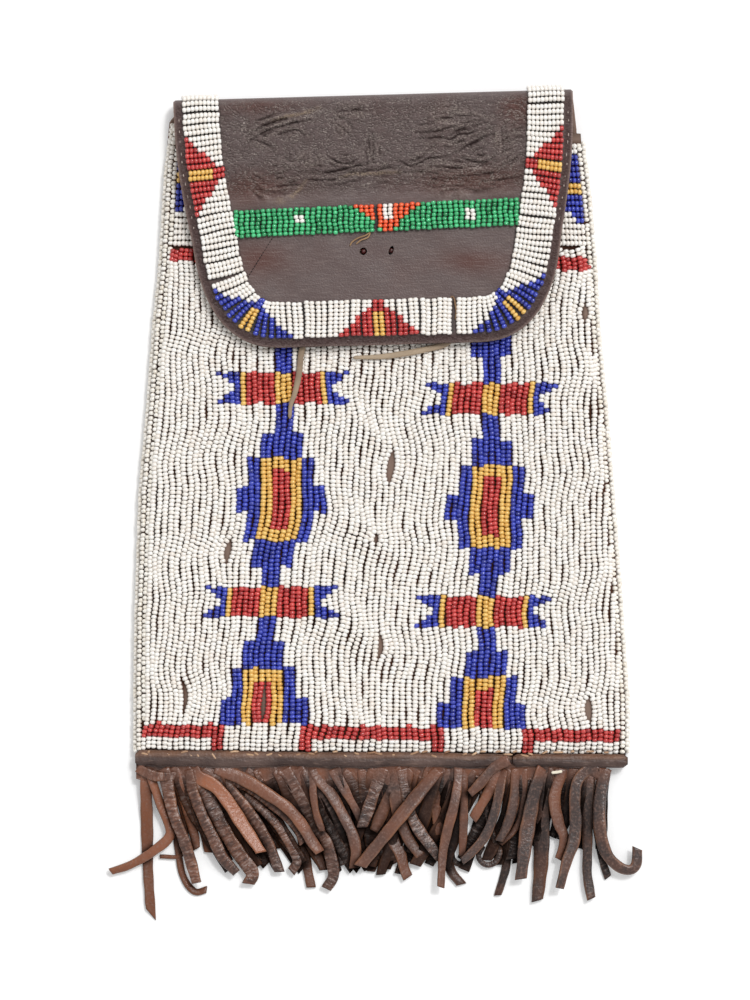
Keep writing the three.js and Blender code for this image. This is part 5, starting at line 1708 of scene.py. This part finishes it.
def thong_path(thong):
    """Path of a thong from the header to its tip."""
    width, layer, _, _, *route = thong
    if route[0][1] > ROOT_PIXEL + 2:
        route = [(route[0][0] + 0.3 * (route[0][0] - route[1][0]), ROOT_PIXEL), *route]
    route = np.array([from_photo(*p) for p in route])
    length = lengths_along(route)[-1]
    count = max(THONG_MIN_STATIONS, int(length / THONG_STATION))
    share = np.linspace(0, 1, count)
    above = (layer + rng.uniform(0, 0.5)) * THONG_LIFT * (1 - TIP_SINK * share)
    lying = THONG_THICKNESS / 2 + FLOOR_GAP + above
    root = welt_high[2] + ROOT_OVER
    if route[0, 1] <= welt_low[1] + 2:
        root = welt_low[2] - ROOT_DEPTH + ROOT_STEP * layer + rng.uniform(0, 0.2)
    z = root + (lying - root) * smoothstep(share * length / RISE_LENGTH)
    phase = rng.uniform(0, FULL_TURN, 3)
    buckle = BUCKLE * np.sin(share * length / BUCKLE_LENGTH + phase[0]) * smoothstep(share * 3)
    z = np.maximum(z + buckle * (0.4 + 0.2 * layer), THONG_THICKNESS / 2 + LEAST_FLOOR_GAP)
    taper = 1 - TIP_NARROWER * share**3 + 0.06 * np.sin(share * 9 + phase[1])
    taper = taper + 0.03 * np.sin(share * length / 1.3 + phase[0])
    return Path(spline(route, count), z, width * PIXEL / 2 * taper, share, length, phase)


def thong_ways(line):
    """Ways along a thong and to its right."""
    ahead = unit(np.gradient(line, axis=0))
    return ahead, -left_of(ahead)


def overlap_shade(path, others):
    """Painted shade on a thong beside and beneath those that cross over it, deeper on low layers and fading
    out at the root: 1 is unshaded.
    """
    side = thong_ways(path.line)[1]
    places = path.line[:, None] + (path.half[:, None] * OVERLAP_ACROSS)[..., None] * side[:, None]
    line = np.vstack([o.line[::2] for o in others])
    half = np.concatenate([o.half[::2] for o in others])
    z = np.concatenate([o.z[::2] for o in others])
    away = np.linalg.norm(places[:, :, None] - line[None, None], axis=-1) - half
    away = np.where(z > path.z[:, None, None] + 0.5, away, NOT_OVER)
    shade = 0.06 + 0.94 * smoothstep((away.min(axis=-1) + 0.5) / 2.6)
    shade = shade * (0.55 + 0.45 * smoothstep(path.z / 5))[:, None]
    return 1 - (1 - shade) * smoothstep((path.share * path.length - 3) / 6)[:, None]


def thong_points(thong, path, shade):
    """Points of one thong, round and along it, with its looks."""
    _, _, tone, roll, *route = thong
    line, z, half, share, length, phase = path
    ahead, side = thong_ways(line)
    lean = np.radians(roll + THONG_CURL * np.sin(share * length / CURL_LENGTH + phase[2]))[:, None]
    across, up = np.array(THONG_SECTION).T
    reach = half[:, None] * across
    height = up * THONG_THICKNESS + DISH * (across**2 - 0.5) * math.sin(phase[0])
    flat = reach * np.cos(lean) - height * np.sin(lean)
    lift = reach * np.sin(lean) + height * np.cos(lean)
    slant = POINTED_SLANT if route[-1] == POINTED_TIP else 0.4 * math.sin(3 * phase[1])
    further = reach * slant * smoothstep(1 - (1 - share) * length / TIP_LENGTH)[:, None]
    place = line[:, None] + flat[..., None] * side[:, None] + further[..., None] * ahead[:, None]
    level = np.maximum(z[:, None] + lift, 0.05)
    free = grid_of(smoothstep(share * length / FREE_LENGTH), THONG_SIDES)
    faded = tone + np.interp(route[0][0], *zip(*FRINGE_FADE))
    painted_shade = np.stack([np.interp(across, OVERLAP_ACROSS, row) for row in shade])
    looks = {
        "edge": free * ((np.abs(across) > 0.84) & (up > 0)),
        "tone": HEADER_TONE + (faded - HEADER_TONE) * free,
        "along": grid_of(share * length, THONG_SIDES), "across": reach,
        "crease": free * (tone < CREASED_TONE) * (up > 0),
        # Painted shade, deeper still on the undersides
        "shade": painted_shade * np.where(up > 0, 1, 0.4),
    }
    return np.concatenate([place, level[..., None]], axis=-1), looks


def make_fringe(material):
    points, faces, gathered, start = [], [], {}, 0
    hidden = under_thongs()
    thongs = [*hidden, *THONGS]
    paths = [thong_path(thong) for thong in thongs]
    for number, (thong, path) in enumerate(zip(thongs, paths)):
        shade = overlap_shade(path, paths[:number] + paths[number + 1:])
        # Painted shade on the thongs behind
        if number < len(hidden):
            shade = shade * (1 - (1 - UNDER_SHADE) * smoothstep(path.share * 5))[:, None]
        rings, looks = thong_points(thong, path, shade)
        points.append(rings.reshape(-1, 3))
        faces.append(ring_faces(len(rings), THONG_SIDES, start, flip=True))
        start += len(points[-1])
        for key, values in looks.items():
            gathered.setdefault(key, []).append(values.ravel())
    attributes = {key: np.concatenate(values) for key, values in gathered.items()}
    faces = [np.vstack(part) for part in zip(*faces)]
    points = np.vstack(points)
    piece = make_mesh("fringe_thongs", points, faces, material, "case", "fringe_leather", attributes)
    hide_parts("fringe")


HEADER_FOOT = photo_y(779)
HEADER_COLUMNS = 320
HEADER_ROWS = 12
HEADER_THICKNESS = 1.3
HEADER_RISE_X = 76.0
HEADER_RISE = 0.52


def make_header(material):
    """Strip that the thongs are cut from, below the welt, its lower edge uneven where the cuts end."""
    x = np.linspace(welt_low[0] + 0.3, -welt_low[0] - 0.3, HEADER_COLUMNS)
    share = np.linspace(0, 1, HEADER_ROWS)[:, None]
    foot = HEADER_FOOT + 1.2 * np.sin(x / 1.4) * np.sin(x / 5.7) + 0.6 * np.sin(x / 13)
    raised = np.minimum(foot + (x - HEADER_RISE_X) * HEADER_RISE, welt_low[1] + 1)
    foot = np.where(x > HEADER_RISE_X, raised, foot)
    y = foot + (welt_low[1] + 3.0 - foot) * share
    swell = 0.12 * np.sin(x / 4.1) * (1 - share) + 0.15 * np.sin(x / 2.3) * np.sin(share * 3.1)
    z = welt_low[2] - 0.25 - 0.6 * (1 - share) ** 2 + swell
    upper = np.stack(np.broadcast_arrays(x, y, z), axis=-1)
    lower = upper - HEADER_THICKNESS * WORLD_UP
    patches = HEADER_TONE + 0.25 * np.sin(x / 3.3) * np.sin(x / 7.9 + 1) + 0.2 * np.sin(x / 1.7 + 2)
    tone = np.clip(patches, 0.05, 0.9) + 0 * share
    # Painted shade, deepest under the welt
    shade = 0.42 + 0.42 * smoothstep(1.5 * (1 - share)) + 0 * x
    attributes = {name: np.zeros(2 * shade.size) for name in ("edge", "along", "across", "crease")}
    attributes |= {"tone": both_faces(tone, tone), "shade": both_faces(shade, shade)}
    plate("fringe_header", upper, lower, material, "case", "fringe_leather", attributes)


# A pale scrap of thread caught between the header and the thongs, by pixels of the photograph
FLECK = ((551.5, 773), (557, 772.5), (562.5, 771.5))
FLECK_HALF = (0.55, 0.4)


def make_fleck(material):
    line = spline([(*from_photo(*p), welt_low[2] + 1.5) for p in FLECK], 12)
    make_tubes("fringe_fleck", [line], *FLECK_HALF, 8, material, "case", "tie_leather")


# Loose threads and small stitches of the flap, by pixels of the photograph
LOOSE_THREADS = (
    ((372, 229), (371, 232), (366, 236), (358, 239), (352, 243), (350, 247)),
    ((371, 231), (368, 238), (361, 241), (356, 245)),
    ((449, 300), (452, 297), (454, 300), (455, 305), (456, 312), (455, 320)),
)
THREAD_STEPS = 24
SEAM_DOTS = ((272, 240), (262, 256), (252, 272), (245, 283))
SEAM_DOT_COUNT = 17
LIP_STITCH_STEP = 3.9
LIP_STITCH_V = (-8.0, -48.0)
LIP_STITCH_INSET = 1.7
KNOT_STEPS = 6


def flap_threads():
    for route in LOOSE_THREADS:
        u, v = flap_spline(route, THREAD_STEPS).T
        yield on_flap_face(u, v, 0.35 + 0.5 * np.sin(np.linspace(0, math.pi, THREAD_STEPS)))


def seam_dots():
    places = flap_spline(SEAM_DOTS, SEAM_DOT_COUNT)
    for place, way in zip(places, unit(np.gradient(places, axis=0))):
        u, v = (place + np.linspace(-0.4, 0.4, 4)[:, None] * way).T
        yield on_flap_face(u, v, 0.02)


def lip_stitches():
    for _, side in SIDES:
        for v in np.arange(*LIP_STITCH_V, -LIP_STITCH_STEP):
            line = v + rng.normal(0, 0.3) + np.linspace(-0.5, 0.5, 4) * rng.uniform(0.7, 1.3)
            u = side * (flap_half(line) - LIP_STITCH_INSET + rng.normal(0, 0.12))
            yield on_flap_face(u, line, 0.0)


def eye_knots():
    """Ends of dark lace that fill the flap's eyes."""
    for u in TIE_HOLES:
        v = TIE_HOLE_V + np.linspace(-0.8, 0.8, KNOT_STEPS)
        yield on_flap_face(u, v, -1.5 + 0.4 * np.sin(np.linspace(0, math.pi, KNOT_STEPS)))


# Marks on the flap: lines, half width, slot, then name, dark and light colour and roughness of the skin
MARKS = {
    "flap_threads": (
        flap_threads, 0.28, "tie_leather", ("loose_thread", (128, 98, 72), (176, 142, 106), 0.8),
    ),
    "flap_lip_stitches": (
        lip_stitches, 0.2, "tie_leather", ("lip_stitch", (150, 134, 126), (200, 186, 176), 0.6),
    ),
    "flap_seam_dots": (seam_dots, 0.2, "flap_leather", ("seam_dots", (38, 28, 26), (52, 40, 36), 0.8)),
    "flap_eye_knots": (eye_knots, 0.95, "tie_leather", ("dark_lace", (52, 20, 18), (84, 34, 30), 0.35)),
}
MARK_FLATNESS = 0.7
THREAD_GRAIN = 900


def thread_material(name, dark, light, roughness):
    return plain_leather(name, dark, light, THREAD_GRAIN, roughness)


def make_marks():
    for name, (lines, half, slot, skin) in MARKS.items():
        make_tubes(name, lines(), half, half * MARK_FLATNESS, 6, thread_material(*skin), "flap", slot)


# Ties: the routes that the CAD gives them, in metres, and the width of the thong along each
TIE_WIDTH = 0.0022
TIE_HALF_HEIGHT = 0.55
TIE_STEPS = 90
TIE_SIDES = 12
TIE_TAPER = 0.4
TIE_ROUTES = {
    "tie_left": (
        (-0.0035, 0.077, 0.0101), (-0.005, 0.073, 0.0111), (-0.007, 0.068, 0.0121),
        (-0.0105, 0.06, 0.0121), (-0.017, 0.049, 0.0121), (-0.025, 0.038, 0.0121),
        (-0.0286, 0.0288, 0.0121), (-0.0297, 0.0198, 0.0121), (-0.0312, 0.013, 0.0121),
        (-0.0326, 0.009, 0.0121), (-0.033, 0.004, 0.0121),
    ),
    "tie_right": (
        (0.0035, 0.077, 0.0101), (0.005, 0.073, 0.0111), (0.007, 0.068, 0.0121), (0.0115, 0.06, 0.0121),
        (0.019, 0.051, 0.0121), (0.026, 0.043, 0.0121), (0.0275, 0.036, 0.0121), (0.0235, 0.0312, 0.0121),
        (0.0175, 0.0293, 0.0121), (0.0085, 0.0275, 0.0121), (-0.0005, 0.0263, 0.0121),
        (-0.0103, 0.026, 0.0121),
    ),
}


def make_tie(name, material):
    line = spline(TIE_ROUTES[name], TIE_STEPS)
    taper = 1 - TIE_TAPER * smoothstep((np.linspace(0, 1, len(line)) - 0.8) / 0.2)
    half = TIE_WIDTH / MM / 2 * taper
    piece = make_tubes(
        f"{name}_thong", [line / MM], half, TIE_HALF_HEIGHT, TIE_SIDES, material, "case", "tie_leather",
    )
    length = lengths_along(line)[-1]
    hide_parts(name)
    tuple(TIE_ROUTES[name][0])


# Stage and light
FLOOR_SIZE = 6
FLOOR_GREY = 0.93
FLOOR_GLOW = 0.16
WORLD_LIGHT = 0.58
# Suns: energy, angle across, and their lean back and to the side, in degrees
LAMPS = {"key": (1.1, 32, (-28, 24)), "glint": (0.8, 6, (-24, 20))}


def make_stage():
    bpy.ops.mesh.primitive_plane_add(size=FLOOR_SIZE)
    floor = bpy.context.object
    floor.name = "floor"
    shader = Shader("floor_white", 0.9, 0.1)
    shader.set("Base Color", (FLOOR_GREY, FLOOR_GREY, FLOOR_GREY, 1))
    seen = shader.seen("Camera", "Glossy", "Transmission")
    shader.set("Emission Strength", shader.times(seen, FLOOR_GLOW))
    shader.set("Emission Color", (1, 1, 1, 1))
    floor.data.materials.append(shader.material)


def make_light():
    world = bpy.data.worlds.new("studio")
    bpy.context.scene.world = world
    nodes = Nodes(world, "Background")
    inputs = {"Value": nodes.seen("Camera", "Transmission"), "To Min": WORLD_LIGHT}
    nodes.set("Strength", nodes.node("ShaderNodeMapRange", inputs).outputs[0])
    nodes.set("Color", (1, 1, 1, 1))
    for name, (energy, angle, (back, side)) in LAMPS.items():
        sun = bpy.data.lights.new(name, "SUN")
        sun.energy = energy
        sun.angle = math.radians(angle)
        lamp = bpy.data.objects.new(name, sun)
        lamp.rotation_euler = (math.radians(back), math.radians(side), 0)
        bpy.context.scene.collection.objects.link(lamp)


# Colours of the plain leathers, dark, middle and light, and of their fields by attribute
BACK_COLOURS = ((80, 65, 61), (98, 81, 77), (120, 103, 96))
BACK_FIELDS = (("edge", (132, 104, 88), 0.4), ("flesh", (116, 88, 70), 0.7))
# The hide is painted dark as shade in the narrow gaps between strings; bare gives it its own lighter colour
# where it shows wide
HIDE_COLOURS = ((48, 29, 22), (84, 54, 42), (84, 54, 42))
HIDE_FIELDS = (("bare", (132, 112, 101), 1.0),)
WELT_COLOURS = ((62, 46, 42), (100, 80, 73), (150, 124, 110))
WELT_FIELDS = (("edge", (126, 88, 64), 0.72),)
# CAD nodes that the beads of the trim and of the flap stand for, by group and colour
TRIM_NODES = {
    ("edging_left", "cream"): ["edging_left"], ("edging_right", "cream"): ["edging_right"],
    ("mouth_lane_left", "white"): ["mouth_lane_left"], ("mouth_lane_right", "white"): ["mouth_lane_right"],
}
BORDER_NODES = {
    ("flap_border", "white"): ["flap_border"],
    ("flap_border", "red"): ["flap_triangle_side_left", "flap_triangle_side_right", "flap_triangle_foot"],
    ("flap_border", "blue"): ["flap_triangle_corner_left", "flap_triangle_corner_right"],
}
BAND_NODES = {("flap_band", "green"): ["flap_band"], ("flap_band", "orange"): ["flap_band_wedge"]}

make_camera()
tie_skin = plain_leather("tie_skin", (138, 118, 98), (176, 156, 132), 500, 0.7)
make_tie("tie_left", tie_skin)
make_tie("tie_right", tie_skin)

bead_materials = {colour: bead_material(colour) for colour in BEAD_COLOURS}
make_flap_leather(flap_material())
make_back(leather_material("back_leather", BACK_COLOURS, 380, 0.55, 0.4, True, BACK_FIELDS))
make_front_hide(leather_material("front_hide", HIDE_COLOURS, 300, 0.9, 0.3, False, HIDE_FIELDS, 0.1))

front = Beads()
add_front_beads(front)
front.make(bead_materials, "case", front_replacements())
trim = Beads()
add_edging(trim)
add_mouth_lanes(trim)
trim.make(bead_materials, "case", TRIM_NODES)
border = Beads()
add_border(border)
border.make(bead_materials, "flap", BORDER_NODES, blend_fold)
band = Beads()
add_band(band)
band.make(bead_materials, "flap", BAND_NODES)

make_marks()
welt_skin = leather_material("welt_leather", WELT_COLOURS, 520, 0.42, 0.8, False, WELT_FIELDS)
make_welt("welt_left", welt_low[0], WELT_SPLIT, welt_skin)
make_welt("welt_right", WELT_SPLIT + WELT_GAP, -welt_low[0], welt_skin)
make_stitches(thread_material("stitch_thread", (150, 112, 86), (208, 174, 142), 0.8))
thong_skin = thong_material()
make_header(thong_skin)
make_fringe(thong_skin)
make_fleck(thread_material("pale_fleck", (232, 222, 198), (250, 244, 228), 0.6))

make_stage()
make_light()
bpy.context.scene.view_settings.view_transform = "Standard"
